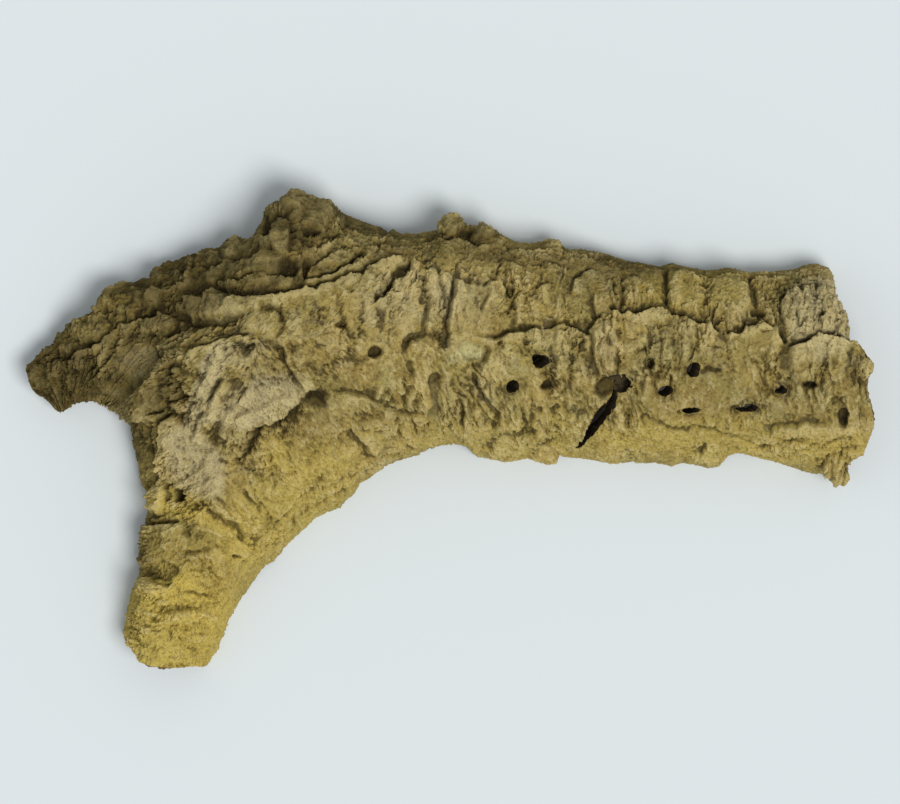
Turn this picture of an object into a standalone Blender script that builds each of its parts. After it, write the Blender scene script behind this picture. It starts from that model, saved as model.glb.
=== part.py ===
"""A cork bark cave: one forked length of hollow cork bark, lying open side down.

The bark is a shell that arches over a hollow. Its trunk and its two limbs meet at the fork, where
the piece is divided into three nodes. The plan is drawn from above, in pixels of the photograph,
and turned into metres by one scale. Heights, thicknesses and depths are in metres.
"""

import math

import bmesh
import bpy
import numpy as np
from mathutils import Vector, noise

# Driving dimensions
LENGTH = 0.520  # from the tip of the back limb to the far lip of the trunk
LENGTH_IN_PIXELS = 846.0
METRES_PER_PIXEL = LENGTH / LENGTH_IN_PIXELS
ORIGIN_PIXEL = (449.8, 431.9)  # the pixel that the origin lies under
CROWN_AT_FORK = 0.086
CROWN_OF_TRUNK = 0.064
CROWN_OF_TRUNK_MOUTH = 0.062
CROWN_OF_BACK_LIMB = 0.052
CROWN_OF_BACK_LIMB_MOUTH = 0.027
CROWN_OF_FRONT_LIMB = 0.052
CROWN_OF_FRONT_LIMB_MOUTH = 0.042
THICKNESS = 0.0125  # of the bark at the crown
THICKNESS_AT_RIM = 0.0085
THICKNESS_AT_TIP = 0.0065  # at the mouth of the back limb, where the bark is thinnest
GAP_AT_FORK = 0.0004  # between two nodes

# How far the walls turn in under their widest line, in degrees of the arch
TURN_IN_BACK = 16.0
TURN_IN_FRONT = 6.0
TURN_IN_CROTCH = 10.0

# Faces of the outer grid. The inner grid has half as many each way.
TURNS = 30
ROWS = {"trunk": 52, "back_limb": 34, "front_limb": 32}

# The plan of the edges, in pixels. Each edge runs from its limb's mouth to the fork.
TRUNK_BACK_EDGE = [
    (834, 276), (828, 268), (815, 264), (803, 266), (797, 269), (768, 272), (752, 272), (742, 270),
    (728, 267), (708, 270), (690, 267), (672, 263), (660, 266), (645, 264), (630, 261), (608, 255),
    (580, 250), (566, 249), (557, 242), (545, 240), (530, 242), (515, 240), (505, 234), (487, 226),
    (465, 224), (458, 219), (450, 218), (444, 221), (441, 229), (420, 233), (400, 233), (392, 229),
    (388, 233), (380, 227), (352, 217), (341, 214),
]
TRUNK_FRONT_EDGE = [
    (849, 478), (842, 482), (834, 479), (826, 472), (816, 474), (800, 470), (775, 461), (748, 454),
    (738, 453), (728, 457), (720, 466), (709, 468), (697, 464), (684, 463), (671, 466), (655, 461),
    (628, 462), (612, 463), (588, 459), (567, 457), (560, 454), (555, 462), (549, 465), (528, 458),
    (507, 462), (478, 457), (466, 446), (455, 444), (443, 445), (432, 448), (412, 456), (392, 462),
    (384, 466), (379, 470),
]
TRUNK_MOUTH = [
    (834, 276), (837, 300), (846, 315), (849, 328), (848, 342), (857, 343), (867, 358), (872, 364),
    (871, 372), (864, 380), (864, 388), (870, 408), (873, 424), (869, 437), (866, 446), (863, 455),
    (852, 460), (848, 466), (849, 478),
]
BACK_LIMB_BACK_EDGE = [
    (36, 359), (42, 350), (55, 338), (70, 330), (78, 320), (92, 312), (100, 302), (110, 293),
    (130, 282), (143, 279), (153, 279), (152, 272), (160, 266), (185, 256), (195, 253), (201, 256),
    (203, 249), (215, 249), (229, 241), (231, 236), (248, 239), (253, 235), (258, 226), (266, 219),
    (268, 209), (277, 204), (287, 205), (295, 196), (312, 204), (328, 205), (337, 214), (341, 214),
]
BACK_LIMB_CROTCH_EDGE = [
    (58, 411), (64, 409), (70, 404), (80, 401), (92, 401), (100, 403), (110, 410), (130, 425),
]
BACK_LIMB_MOUTH = [
    (36, 359), (30, 366), (27, 374), (29, 382), (32, 390), (45, 400), (52, 406), (58, 411),
]
FRONT_LIMB_CROTCH_EDGE = [
    (124, 639), (122, 632), (126, 622), (129, 606), (131, 590), (138, 582), (139, 574), (137, 562),
    (140, 536), (147, 514), (148, 500), (139, 476), (134, 448), (130, 425),
]
FRONT_LIMB_FRONT_EDGE = [
    (206, 666), (210, 659), (217, 650), (219, 642), (224, 634), (226, 624), (232, 611), (248, 588),
    (256, 576), (263, 568), (272, 562), (276, 556), (292, 540), (307, 526), (313, 519), (325, 513),
    (340, 508), (346, 500), (354, 493), (359, 484), (369, 478), (379, 470),
]
FRONT_LIMB_MOUTH = [
    (124, 639), (129, 648), (134, 656), (140, 662), (152, 666), (180, 668), (195, 667), (206, 666),
]

# The lines where the nodes meet, each from the edge of the plan to the top of the fork
BACK_JOINT = [(341, 214), (318, 258), (288, 300), (258, 338)]
FRONT_JOINT = [(379, 470), (340, 432), (300, 386), (258, 338)]
CROTCH_JOINT = [(130, 425), (168, 396), (212, 368), (258, 338)]

# Steps in the bark: height, how far the raised side reaches in pixels, and the line of the step.
# The raised side is on the right of someone who walks along the line.
STEPS = {
    "trunk_step_west": (0.0040, 40, [
        (478, 340), (500, 338), (531, 329), (562, 326), (588, 328), (604, 318),
    ]),
    "trunk_step_middle": (0.0050, 40, [
        (602, 312), (628, 316), (645, 316), (670, 316), (690, 322), (722, 334),
    ]),
    "trunk_step_east": (0.0045, 36, [(722, 334), (735, 342), (748, 347), (770, 333), (784, 344)]),
    "trunk_step_lip": (0.0060, 40, [(784, 348), (795, 343), (808, 341), (822, 337), (850, 343)]),
    "block_across_trunk": (0.0040, 26, [(598, 376), (597, 355), (590, 330)]),
    "plate_west_of_pit": (0.0048, 24, [(447, 354), (448, 338), (452, 322), (455, 290), (458, 276)]),
    "plate_at_shoulder": (0.0050, 34, [(378, 304), (393, 290), (408, 276), (414, 258)]),
    "plate_east_of_pit": (0.0040, 24, [(478, 378), (488, 360), (490, 346)]),
    "strip_below_shoulder": (0.0028, 16, [(430, 340), (427, 322), (428, 298)]),
    "ledge_along_front": (0.0020, 22, [(540, 430), (515, 436), (498, 441), (480, 452)]),
    "ridge_near_lip": (0.0024, 14, [(752, 432), (775, 426), (820, 421)]),
    "first_terrace": (0.0042, 30, [
        (200, 299), (262, 297), (295, 297), (335, 286), (378, 268), (402, 258),
    ]),
    "second_terrace": (0.0034, 18, [(215, 288), (245, 284), (268, 278), (300, 279)]),
    "third_terrace": (0.0036, 18, [(306, 284), (325, 280), (345, 268), (366, 254)]),
    "fourth_terrace": (0.0030, 18, [(178, 266), (205, 263), (234, 262), (250, 256)]),
    "crotch_step": (0.0065, 34, [(127, 420), (130, 408), (142, 392), (157, 372), (164, 350)]),
    "fork_step": (0.0035, 30, [(164, 350), (180, 346), (205, 326), (240, 322)]),
    "spur_step": (0.0040, 26, [(200, 503), (168, 478), (160, 458), (162, 430), (170, 412)]),
    "arc_on_front_limb": (0.0030, 24, [(252, 531), (240, 529), (231, 519), (212, 509), (194, 504)]),
    "band_on_front_limb": (0.0030, 30, [(142, 526), (182, 524)]),
    "mouth_band": (0.0030, 36, [(136, 580), (160, 580), (188, 581)]),
}

# Furrows: depth, half width in pixels, and the line of the furrow
FURROWS = {
    "under_pale_plate": (0.0040, 6.0, [
        (304, 402), (288, 418), (262, 426), (252, 448), (232, 464), (216, 492),
    ]),
    "beside_pale_plate": (0.0032, 6.0, [(222, 384), (212, 398), (204, 420), (196, 438)]),
    "across_front_limb": (0.0024, 5.0, [(176, 597), (196, 596), (214, 597)]),
    "below_shoulder": (0.0030, 5.0, [(340, 349), (362, 343), (378, 338), (402, 338)]),
    "trunk_gutter": (0.0026, 5.5, [(434, 376), (435, 400), (434, 424)]),
    "blocky_ridge_foot": (0.0034, 6.0, [(174, 314), (190, 322), (212, 320), (244, 318)]),
    "between_back_plates": (0.0030, 6.0, [(664, 266), (666, 302)]),
    "between_lip_plates": (0.0034, 6.0, [(752, 276), (756, 306)]),
    "slit_near_rim": (0.0034, 5.0, [(757, 447), (774, 445), (790, 442)]),
    "wedge_near_rim": (0.0034, 5.0, [(460, 408), (464, 428)]),
    "fold_at_front_joint": (0.0024, 6.0, [(346, 428), (362, 444), (377, 462)]),
    "ledge_above_front": (0.0018, 5.0, [(650, 421), (674, 430), (722, 431), (746, 441)]),
}

# Lumps and plates: centre, half sizes in pixels, turn in degrees, height
LUMPS = {
    "pale_plate_upper": (262, 404, 42, 17, -14, 0.0040),
    "pale_plate_lower": (198, 460, 40, 22, 52, 0.0040),
    "knob_over_back_edge": (300, 212, 26, 15, 20, 0.0070),
    "knob_beside_it": (275, 214, 9, 9, 0, 0.0040),
    "rib_down_from_knob": (281, 244, 8, 26, -8, 0.0062),
    "lump_at_rib_foot": (262, 259, 20, 8, -8, 0.0040),
    "knob_on_trunk_back": (455, 228, 13, 10, 0, 0.0052),
    "lump_back_1": (128, 301, 19, 12, -25, 0.0042),
    "lump_back_2": (88, 325, 17, 10, -20, 0.0042),
    "lump_back_3": (66, 348, 15, 9, -20, 0.0030),
    "lump_back_4": (64, 368, 14, 8, 0, 0.0032),
    "lump_tip": (44, 378, 12, 9, 0, 0.0030),
    "lump_back_5": (100, 362, 18, 12, -15, 0.0030),
    "blocky_ridge": (208, 309, 36, 9, -2, 0.0040),
    "textured_ridge": (160, 328, 32, 9, -12, 0.0030),
    "crotch_lobe": (146, 404, 14, 12, -35, 0.0042),
    "back_plate_1": (638, 292, 15, 14, 0, 0.0026),
    "back_plate_2": (690, 294, 22, 20, 0, 0.0030),
    "back_plate_3": (732, 298, 17, 28, 4, 0.0032),
    "lip_plate": (806, 312, 30, 24, -4, 0.0034),
    "lip_lobe": (866, 366, 8, 9, 0, 0.0030),
    "lip_ridge": (812, 437, 46, 7, -2, 0.0026),
    "rim_knob": (836, 470, 12, 9, 0, 0.0040),
    "front_limb_band": (160, 538, 22, 12, 0, 0.0026),
    "mouth_bulge": (146, 612, 22, 30, 0, 0.0026),
    "shoulder_plate": (424, 300, 22, 26, 10, 0.0020),
    "left_spur": (158, 496, 12, 14, 20, 0.0040),
    "right_spur": (196, 494, 10, 12, 20, 0.0030),
}

# Pits: centre, half sizes in pixels, turn in degrees, depth
PITS = {
    "beside_rib": (291, 262, 8, 9, 0, 0.0050),
    "past_rib": (306, 263, 5, 8, 0, 0.0038),
    "behind_rib": (268, 229, 5, 8, 0, 0.0045),
    "below_knob": (311, 233, 6, 5, 0, 0.0036),
    "under_shoulder": (416, 344, 13, 5, -18, 0.0060),
    "smooth_pit": (474, 351, 17, 12, 10, 0.0042),
    "round_pit": (374, 354, 6, 5, 0, 0.0050),
    "notch_at_fork": (315, 397, 12, 6, 0, 0.0045),
    "dark_pit_at_back": (757, 312, 7, 7, 0, 0.0060),
    "crumbled_patch": (160, 570, 22, 11, 0, 0.0026),
    "gutter_head": (435, 383, 6, 8, 0, 0.0035),
    "lip_crevice": (845, 417, 6, 10, 0, 0.0050),
    "funnel_of_wide_hole": (618, 384, 17, 11, -12, 0.0045),
}

# Borings right through the bark: centre, half sizes in pixels, turn in degrees
BORINGS = {
    "round_hole": (512, 387, 6.0, 5.5, 0),
    "oval_hole": (540, 360, 8.0, 6.0, 0),
    "wide_hole": (620, 384, 10.0, 6.5, -12),
    "east_hole": (665, 390, 6.5, 5.0, 0),
    "notched_hole": (693, 369, 6.0, 6.5, 0),
    "west_slot": (691, 410, 8.5, 3.6, 0),
    "east_slot": (748, 409, 9.5, 4.4, 0),
    "lip_hole": (781, 391, 6.0, 4.5, 0),
}
BORING_SIDES = 8

# The long split in the trunk, its outline in pixels
SPLIT = [(610, 389), (617, 392), (611, 410), (600, 430), (584, 447), (585, 438), (592, 420), (602, 404)]

# Places where the rim stands clear of the ground: pixel, radius in pixels, height
RIM_GAPS = {
    "front_notch": (452, 445, 34, 0.0070),
    "front_bay": (740, 454, 26, 0.0055),
    "front_chip": (561, 456, 14, 0.0040),
    "back_bay": (404, 233, 40, 0.0065),
    "back_chip": (700, 269, 26, 0.0040),
    "back_limb_bay": (205, 252, 34, 0.0055),
    "crotch_bay": (100, 403, 28, 0.0045),
    "front_limb_bay": (139, 570, 20, 0.0040),
    "front_limb_outer_bay": (262, 569, 26, 0.0050),
}
RIM_GAP_FLOOR = 0.0006  # gaps lower than this are closed, so that the rim rests flat
RIM_LIFT_REACH = 0.012  # how far up the wall a lifted rim is felt

STEP_SOFTNESS = 4.0  # half the width of a step's face, in pixels
FOOT_DEPTH = 0.35  # the hollow along a step's foot, as a share of the step's height
BULGE = 0.0016
BULGE_PIXELS = 46.0
ROUGHNESS = 0.0010
ROUGHNESS_PIXELS = 15.0
MOST_RELIEF = 0.0085
INSIDE_PASSES = 2  # of evening out over the inside

BARK_COLOURS = {
    "trunk": (0.30, 0.24, 0.10, 1.0),
    "back_limb": (0.21, 0.17, 0.08, 1.0),
    "front_limb": (0.36, 0.28, 0.10, 1.0),
}
BARK_ROUGHNESS = 0.92


def smooth(t):
    """A smooth rise from 0 to 1 as t goes from 0 to 1."""
    t = np.clip(t, 0.0, 1.0)
    return t * t * (3.0 - 2.0 * t)


def along(points, shares):
    """The points at these shares of a polyline's length."""
    points = np.array(points, float)
    lengths = np.concatenate([[0.0], np.cumsum(np.linalg.norm(np.diff(points, axis=0), axis=1))])
    at = np.asarray(shares, float) * lengths[-1]
    return np.stack([np.interp(at, lengths, points[:, k]) for k in (0, 1)], axis=-1)


def joint_line(first, second, shares):
    """The line where an arm ends at the fork: along one joint to the top, and back along the other."""
    up = along(first, np.clip(2.0 * shares, 0.0, 1.0))
    down = along(second, np.clip(2.0 - 2.0 * shares, 0.0, 1.0))
    return np.where((shares <= 0.5)[:, None], up, down)


class Arm:
    """The trunk or a limb: a grid of rows from its mouth to the fork, and turns over its arch."""

    def __init__(self, name, first_edge, second_edge, mouth, joints, turn_ins, crowns, tip=THICKNESS):
        self.name = name
        self.first_edge = first_edge
        self.second_edge = second_edge
        self.mouth = mouth
        self.joints = joints
        self.turn_ins = turn_ins
        self.crowns = crowns
        self.tip = tip

    def turns(self, count):
        """The angle of each turn over the arch, and the turn-in of the side that it is on."""
        first, second = (math.radians(angle) for angle in self.turn_ins)
        half = count // 2
        angles = np.concatenate([
            np.linspace(-first, math.pi / 2, half + 1),
            np.linspace(math.pi / 2, math.pi + second, half + 1)[1:],
        ])
        turn_in = np.where(np.arange(count + 1) <= half, first, second)
        return angles, turn_in

    def plan(self, rows, shares):
        """The plan of the grid in pixels, stretched between the two edges, the mouth and the joints."""
        u = rows[:, None, None]
        s = shares[None, :, None]
        first = along(self.first_edge, rows)[:, None, :]
        second = along(self.second_edge, rows)[:, None, :]
        mouth = along(self.mouth, shares)[None, :, :]
        joint = joint_line(*self.joints, shares)[None, :, :]
        across = (1.0 - s) * first + s * second
        return across + (1.0 - u) * (mouth - across[:1]) + u * (joint - across[-1:])

    def crown(self, rows):
        """The height of the crown, level at the mouth, at the middle and at the fork."""
        mouth, middle, fork = self.crowns
        near = mouth + (middle - mouth) * smooth(2.0 * rows)
        return near + (fork - middle) * smooth(2.0 * rows - 1.0)

    def grid(self, row_count, turn_count):
        """The plain arch: pixels, points in metres, and how high each turn is on the wall, 0 to 1."""
        rows = np.linspace(0.0, 1.0, row_count + 1)
        angles, turn_in = self.turns(turn_count)
        pixels = self.plan(rows, (1.0 - np.cos(angles)) / 2.0)
        rise = (np.sin(angles) + np.sin(turn_in)) / (1.0 + np.sin(turn_in))
        height = self.crown(rows)[:, None] * rise[None, :]
        points = np.concatenate([to_metres(pixels), height[:, :, None]], axis=2)
        return pixels, points, np.broadcast_to(rise, height.shape)


def to_metres(pixels):
    x = (pixels[..., 0] - ORIGIN_PIXEL[0]) * METRES_PER_PIXEL
    y = (ORIGIN_PIXEL[1] - pixels[..., 1]) * METRES_PER_PIXEL
    return np.stack([x, y], axis=-1)


def distance_to_line(line, x, y):
    """Distance to a polyline, positive on the right of the walk, and the distance left to its ends."""
    line = np.array(line, float)
    best = np.full(x.shape, np.inf)
    side = np.ones(x.shape)
    walked = np.zeros(x.shape)
    total = 0.0
    for (ax, ay), (bx, by) in zip(line[:-1], line[1:]):
        dx, dy = bx - ax, by - ay
        length = math.hypot(dx, dy)
        t = np.clip(((x - ax) * dx + (y - ay) * dy) / length**2, 0.0, 1.0)
        distance = np.hypot(x - ax - t * dx, y - ay - t * dy)
        nearer = distance < best
        cross = (y - ay) * dx - (x - ax) * dy
        best = np.where(nearer, distance, best)
        side = np.where(nearer, np.where(cross >= 0.0, 1.0, -1.0), side)
        walked = np.where(nearer, total + t * length, walked)
        total += length
    return best * side, np.minimum(walked, total - walked)


def step_relief(x, y, height, reach, line):
    """A step that is sharp on its low side and sinks back over its reach on the raised side."""
    across, to_end = distance_to_line(line, x, y)
    rise = smooth((across + STEP_SOFTNESS) / (2.0 * STEP_SOFTNESS))
    rise = rise * np.exp(-np.maximum(across, 0.0) / reach)
    foot = np.exp(-(((across + 1.5 * STEP_SOFTNESS) / (1.5 * STEP_SOFTNESS)) ** 2))
    return height * (rise - FOOT_DEPTH * foot) * smooth(to_end / (3.0 * STEP_SOFTNESS))


def furrow_relief(x, y, depth, half_width, line):
    across, _ = distance_to_line(line, x, y)
    return -depth * np.exp(-((across / half_width) ** 2))


def ellipse_radius(x, y, cx, cy, rx, ry, turn):
    """How many half sizes a point is from an ellipse's centre."""
    c, s = math.cos(math.radians(turn)), math.sin(math.radians(turn))
    dx, dy = x - cx, y - cy
    return np.hypot((dx * c + dy * s) / rx, (dy * c - dx * s) / ry)


def noise_field(x, y, z, pixels, seed):
    """Noise from -1 to 1 at every point of a grid, with lumps this many pixels across."""
    flat = np.stack([np.ravel(a) for a in np.broadcast_arrays(x, y, z)], axis=1) / pixels
    values = [noise.noise(Vector((a, b, c + seed))) for a, b, c in flat]
    return np.array(values).reshape(np.shape(x))


def relief(x, y, z, upward):
    """How far the bark stands out from the plain arch, at pixels x and y and height z in pixels.

    What was read from above fades out where the wall turns down; upward is the normal's rise there.
    """
    total = np.zeros(x.shape)
    for height, reach, line in STEPS.values():
        total += step_relief(x, y, height, reach, line)
    for depth, half_width, line in FURROWS.values():
        total += furrow_relief(x, y, depth, half_width, line)
    for cx, cy, rx, ry, turn, height in LUMPS.values():
        total += height * smooth(1.6 - 1.4 * ellipse_radius(x, y, cx, cy, rx, ry, turn))
    for cx, cy, rx, ry, turn, depth in PITS.values():
        total -= depth * smooth(1.7 - 1.4 * ellipse_radius(x, y, cx, cy, rx, ry, turn))
    total = np.clip(total, -MOST_RELIEF, MOST_RELIEF) * smooth(0.1 + 1.8 * upward)
    bulge = BULGE * noise_field(x, y, z, BULGE_PIXELS, 3.0)
    roughness = ROUGHNESS * noise_field(x, y, z, ROUGHNESS_PIXELS, 11.0)
    return total + (bulge + roughness) * (0.4 + 0.6 * smooth(2.0 * upward))


def rim_lift(x, y):
    """How far the rim stands clear of the ground."""
    lift = np.zeros(np.shape(x))
    for cx, cy, radius, height in RIM_GAPS.values():
        lift += height * np.exp(-(((x - cx) ** 2 + (y - cy) ** 2) / radius**2))
    return np.maximum(lift - RIM_GAP_FLOOR, 0.0)


def unit(vectors):
    return vectors / np.maximum(np.linalg.norm(vectors, axis=-1, keepdims=True), 1e-12)


def grid_normals(grids):
    """The outward normals of the three plain arches, averaged where their grids meet at the fork."""
    normals = {}
    for name, (_, points, _) in grids.items():
        normal = unit(np.cross(np.gradient(points, axis=0), np.gradient(points, axis=1)))
        normals[name] = normal if name == "trunk" else -normal
    trunk, back, front = (normals[name][-1] for name in ("trunk", "back_limb", "front_limb"))
    half = len(trunk) // 2
    back_joint = unit(trunk[:half] + back[:half])
    front_joint = unit(trunk[half + 1 :] + front[half + 1 :])
    crotch = unit(back[half + 1 :] + front[:half][::-1])
    top = unit(trunk[half] + back[half] + front[half])
    rows_and_halves = (
        (trunk, back_joint, front_joint),
        (back, back_joint, crotch),
        (front, crotch[::-1], front_joint),
    )
    for row, first, second in rows_and_halves:
        row[:half] = first
        row[half] = top
        row[half + 1 :] = second
    return normals


def outer_points(pixels, points, normals):
    """The plain arch with the bark's relief on it, its rim level with the ground or lifted clear."""
    out = relief(pixels[..., 0], pixels[..., 1], points[..., 2] / METRES_PER_PIXEL, normals[..., 2])
    return set_rim(points + normals * out[..., None], points, pixels)


def inner_points(arm, pixels, points, rise, normals):
    """The smooth inside of the bark."""
    rows = np.linspace(0.0, 1.0, points.shape[0])[:, None]
    full = arm.tip + (THICKNESS - arm.tip) * smooth(1.6 * rows)
    thin = np.minimum(full, THICKNESS_AT_RIM)
    depth = thin + (full - thin) * smooth(rise * 1.8)
    moved = relaxed(points - normals * depth[..., None])
    return set_rim(moved, points, pixels)


def relaxed(points):
    """Evens out the inside, all but the row at the fork, which the nodes share."""
    for _ in range(INSIDE_PASSES):
        moved = points.copy()
        moved[:-1, 1:-1] = 0.5 * points[:-1, 1:-1] + 0.25 * (points[:-1, :-2] + points[:-1, 2:])
        points = moved.copy()
        moved[1:-1] = 0.5 * points[1:-1] + 0.25 * (points[:-2] + points[2:])
        points = moved
    return points


def set_rim(moved, points, pixels):
    """Keeps the wall above the ground, and its two rims on it or lifted clear of it."""
    moved[..., 2] = np.maximum(moved[..., 2], 0.35 * points[..., 2])
    moved[:, [0, -1], 2] = 0.0
    moved[..., 2] += rim_lift(pixels[..., 0], pixels[..., 1]) * np.exp(-points[..., 2] / RIM_LIFT_REACH)
    return moved


def pull_back(moved, pixels):
    """Draws the row at the fork back from the joint by half the gap."""
    tangent = np.gradient(to_metres(pixels[-1]), axis=0)
    away = np.stack([-tangent[:, 1], tangent[:, 0]], axis=1)
    inward = to_metres(pixels[-2]) - to_metres(pixels[-1])
    away *= np.sign((away * inward).sum(axis=1, keepdims=True))
    away /= np.maximum(np.linalg.norm(away, axis=1, keepdims=True), 1e-12)
    moved[-1, :, :2] += away * GAP_AT_FORK / 2.0
    return moved


def add_grid(bm, points, flip):
    """Vertices and faces of one grid."""
    verts = [[bm.verts.new(point) for point in row] for row in points]
    for i in range(len(verts) - 1):
        for j in range(len(verts[0]) - 1):
            corners = [verts[i][j], verts[i + 1][j], verts[i + 1][j + 1], verts[i][j + 1]]
            bm.faces.new(corners[::-1] if flip else corners)
    return verts


def zip_rows(bm, fine, coarse):
    """Fills the strip between a row of vertices and one with half as many faces."""
    for k in range(len(coarse) - 1):
        bm.faces.new((coarse[k], fine[2 * k], fine[2 * k + 1]))
        bm.faces.new((coarse[k], fine[2 * k + 1], coarse[k + 1]))
        bm.faces.new((coarse[k + 1], fine[2 * k + 1], fine[2 * k + 2]))


def bark_material(name):
    material = bpy.data.materials.new(name + "_bark")
    material.use_nodes = True
    shader = material.node_tree.nodes["Principled BSDF"]
    shader.inputs["Base Color"].default_value = BARK_COLOURS[name]
    shader.inputs["Roughness"].default_value = BARK_ROUGHNESS
    shader.inputs["Metallic"].default_value = 0.0
    return material


def add_object(name, bm, material=None):
    mesh = bpy.data.meshes.new(name)
    bm.to_mesh(mesh)
    bm.free()
    if material:
        mesh.materials.append(material)
    obj = bpy.data.objects.new(name, mesh)
    bpy.context.scene.collection.objects.link(obj)
    return obj


def make_shell(arm, grid, normals):
    """One node: the outside, the inside, the two rims, the mouth's edge and the face at the fork."""
    pixels, points, rise = grid
    outer = pull_back(outer_points(pixels, points, normals), pixels)
    coarse = (slice(None, None, 2), slice(None, None, 2))
    inner = inner_points(arm, pixels[coarse], points[coarse], rise[coarse], normals[coarse])
    inner = pull_back(inner, pixels[coarse])
    bm = bmesh.new()
    outside = add_grid(bm, outer, arm.name != "trunk")
    inside = add_grid(bm, inner, arm.name == "trunk")
    zip_rows(bm, outside[0], inside[0])
    zip_rows(bm, outside[-1], inside[-1])
    zip_rows(bm, [row[0] for row in outside], [row[0] for row in inside])
    zip_rows(bm, [row[-1] for row in outside], [row[-1] for row in inside])
    bmesh.ops.recalc_face_normals(bm, faces=bm.faces)
    return add_object(arm.name, bm, bark_material(arm.name))


def add_prism(bm, outline):
    """An upright prism through the bark, with this outline in pixels."""
    plan = to_metres(np.array(outline, float))
    low = [bm.verts.new((x, y, 0.02)) for x, y in plan]
    high = [bm.verts.new((x, y, 0.12)) for x, y in plan]
    bm.faces.new(low)
    bm.faces.new(high[::-1])
    for k in range(len(plan)):
        after = (k + 1) % len(plan)
        bm.faces.new((low[k], high[k], high[after], low[after]))


def make_borings():
    """The cutter for the insect borings and for the long split."""
    bm = bmesh.new()
    for cx, cy, rx, ry, turn in BORINGS.values():
        c, s = math.cos(math.radians(turn)), math.sin(math.radians(turn))
        outline = []
        for k in range(BORING_SIDES):
            angle = 2.0 * math.pi * (k + 0.5) / BORING_SIDES
            a, b = rx * math.cos(angle), ry * math.sin(angle)
            outline.append((cx + a * c - b * s, cy + a * s + b * c))
        add_prism(bm, outline)
    add_prism(bm, SPLIT)
    bmesh.ops.recalc_face_normals(bm, faces=bm.faces)
    cutter = add_object("borings", bm)
    cutter.hide_render = True
    cutter.display_type = "WIRE"
    return cutter


def make_arms():
    fork = CROWN_AT_FORK
    return [
        Arm(
            "trunk", TRUNK_BACK_EDGE, TRUNK_FRONT_EDGE, TRUNK_MOUTH, (BACK_JOINT, FRONT_JOINT),
            (TURN_IN_BACK, TURN_IN_FRONT), (CROWN_OF_TRUNK_MOUTH, CROWN_OF_TRUNK, fork),
        ),
        Arm(
            "back_limb", BACK_LIMB_BACK_EDGE, BACK_LIMB_CROTCH_EDGE, BACK_LIMB_MOUTH,
            (BACK_JOINT, CROTCH_JOINT), (TURN_IN_BACK, TURN_IN_CROTCH),
            (CROWN_OF_BACK_LIMB_MOUTH, CROWN_OF_BACK_LIMB, fork),
            tip=THICKNESS_AT_TIP,
        ),
        Arm(
            "front_limb", FRONT_LIMB_CROTCH_EDGE, FRONT_LIMB_FRONT_EDGE, FRONT_LIMB_MOUTH,
            (CROTCH_JOINT, FRONT_JOINT), (TURN_IN_CROTCH, TURN_IN_FRONT),
            (CROWN_OF_FRONT_LIMB_MOUTH, CROWN_OF_FRONT_LIMB, fork),
        ),
    ]


def main():
    for obj in list(bpy.data.objects):
        bpy.data.objects.remove(obj)
    arms = make_arms()
    grids = {arm.name: arm.grid(ROWS[arm.name], TURNS) for arm in arms}
    normals = grid_normals(grids)
    shells = {arm.name: make_shell(arm, grids[arm.name], normals[arm.name]) for arm in arms}
    cut = shells["trunk"].modifiers.new("borings", "BOOLEAN")
    cut.operation = "DIFFERENCE"
    cut.object = make_borings()


main()
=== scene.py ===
"""Looks for the cork bark cave: its bark at full detail, its materials, the floor, light and camera.

The bark is made again from the same plan as its solids, on a much finer grid and with the texture
that the solids leave out. The plan is drawn from above, in pixels of the photograph. Heights,
thicknesses and depths are in metres.
"""

import math

import bmesh
import bpy
import numpy as np
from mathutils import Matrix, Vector, noise


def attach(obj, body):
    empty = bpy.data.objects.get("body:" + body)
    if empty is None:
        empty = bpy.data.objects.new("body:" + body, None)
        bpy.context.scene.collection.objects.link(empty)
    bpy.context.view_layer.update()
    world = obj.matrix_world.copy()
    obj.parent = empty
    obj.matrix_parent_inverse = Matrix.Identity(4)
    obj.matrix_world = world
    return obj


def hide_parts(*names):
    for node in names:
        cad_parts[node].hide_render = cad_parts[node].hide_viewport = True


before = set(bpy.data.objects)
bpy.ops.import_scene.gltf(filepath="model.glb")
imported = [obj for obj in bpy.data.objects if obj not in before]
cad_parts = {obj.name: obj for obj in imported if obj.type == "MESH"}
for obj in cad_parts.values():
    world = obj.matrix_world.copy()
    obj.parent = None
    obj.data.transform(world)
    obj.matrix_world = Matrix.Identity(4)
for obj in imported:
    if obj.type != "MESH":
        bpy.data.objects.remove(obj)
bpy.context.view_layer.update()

# Driving dimensions, the same as those of the solids
LENGTH = 0.520  # from the tip of the back limb to the far lip of the trunk
LENGTH_IN_PIXELS = 846.0
METRES_PER_PIXEL = LENGTH / LENGTH_IN_PIXELS
ORIGIN_PIXEL = (449.8, 431.9)  # the pixel that the origin lies under
CROWN_AT_FORK = 0.086
CROWN_OF_TRUNK = 0.064
CROWN_OF_TRUNK_MOUTH = 0.062
CROWN_OF_BACK_LIMB = 0.052
CROWN_OF_BACK_LIMB_MOUTH = 0.027
CROWN_OF_FRONT_LIMB = 0.052
CROWN_OF_FRONT_LIMB_MOUTH = 0.042
THICKNESS = 0.0125  # of the bark at the crown
THICKNESS_AT_RIM = 0.0085
THICKNESS_AT_TIP = 0.0065  # at the mouth of the back limb, where the bark is thinnest

# How far the walls turn in under their widest line, in degrees of the arch
TURN_IN_BACK = 16.0
TURN_IN_FRONT = 6.0
TURN_IN_CROTCH = 10.0

# Faces of the outer grid. The inner grid has a third as many each way.
TURNS = 288
ROWS = {"trunk": 558, "back_limb": 279, "front_limb": 279}
INSIDE_RATIO = 3
MOUTH_LAYERS = 7

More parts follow.
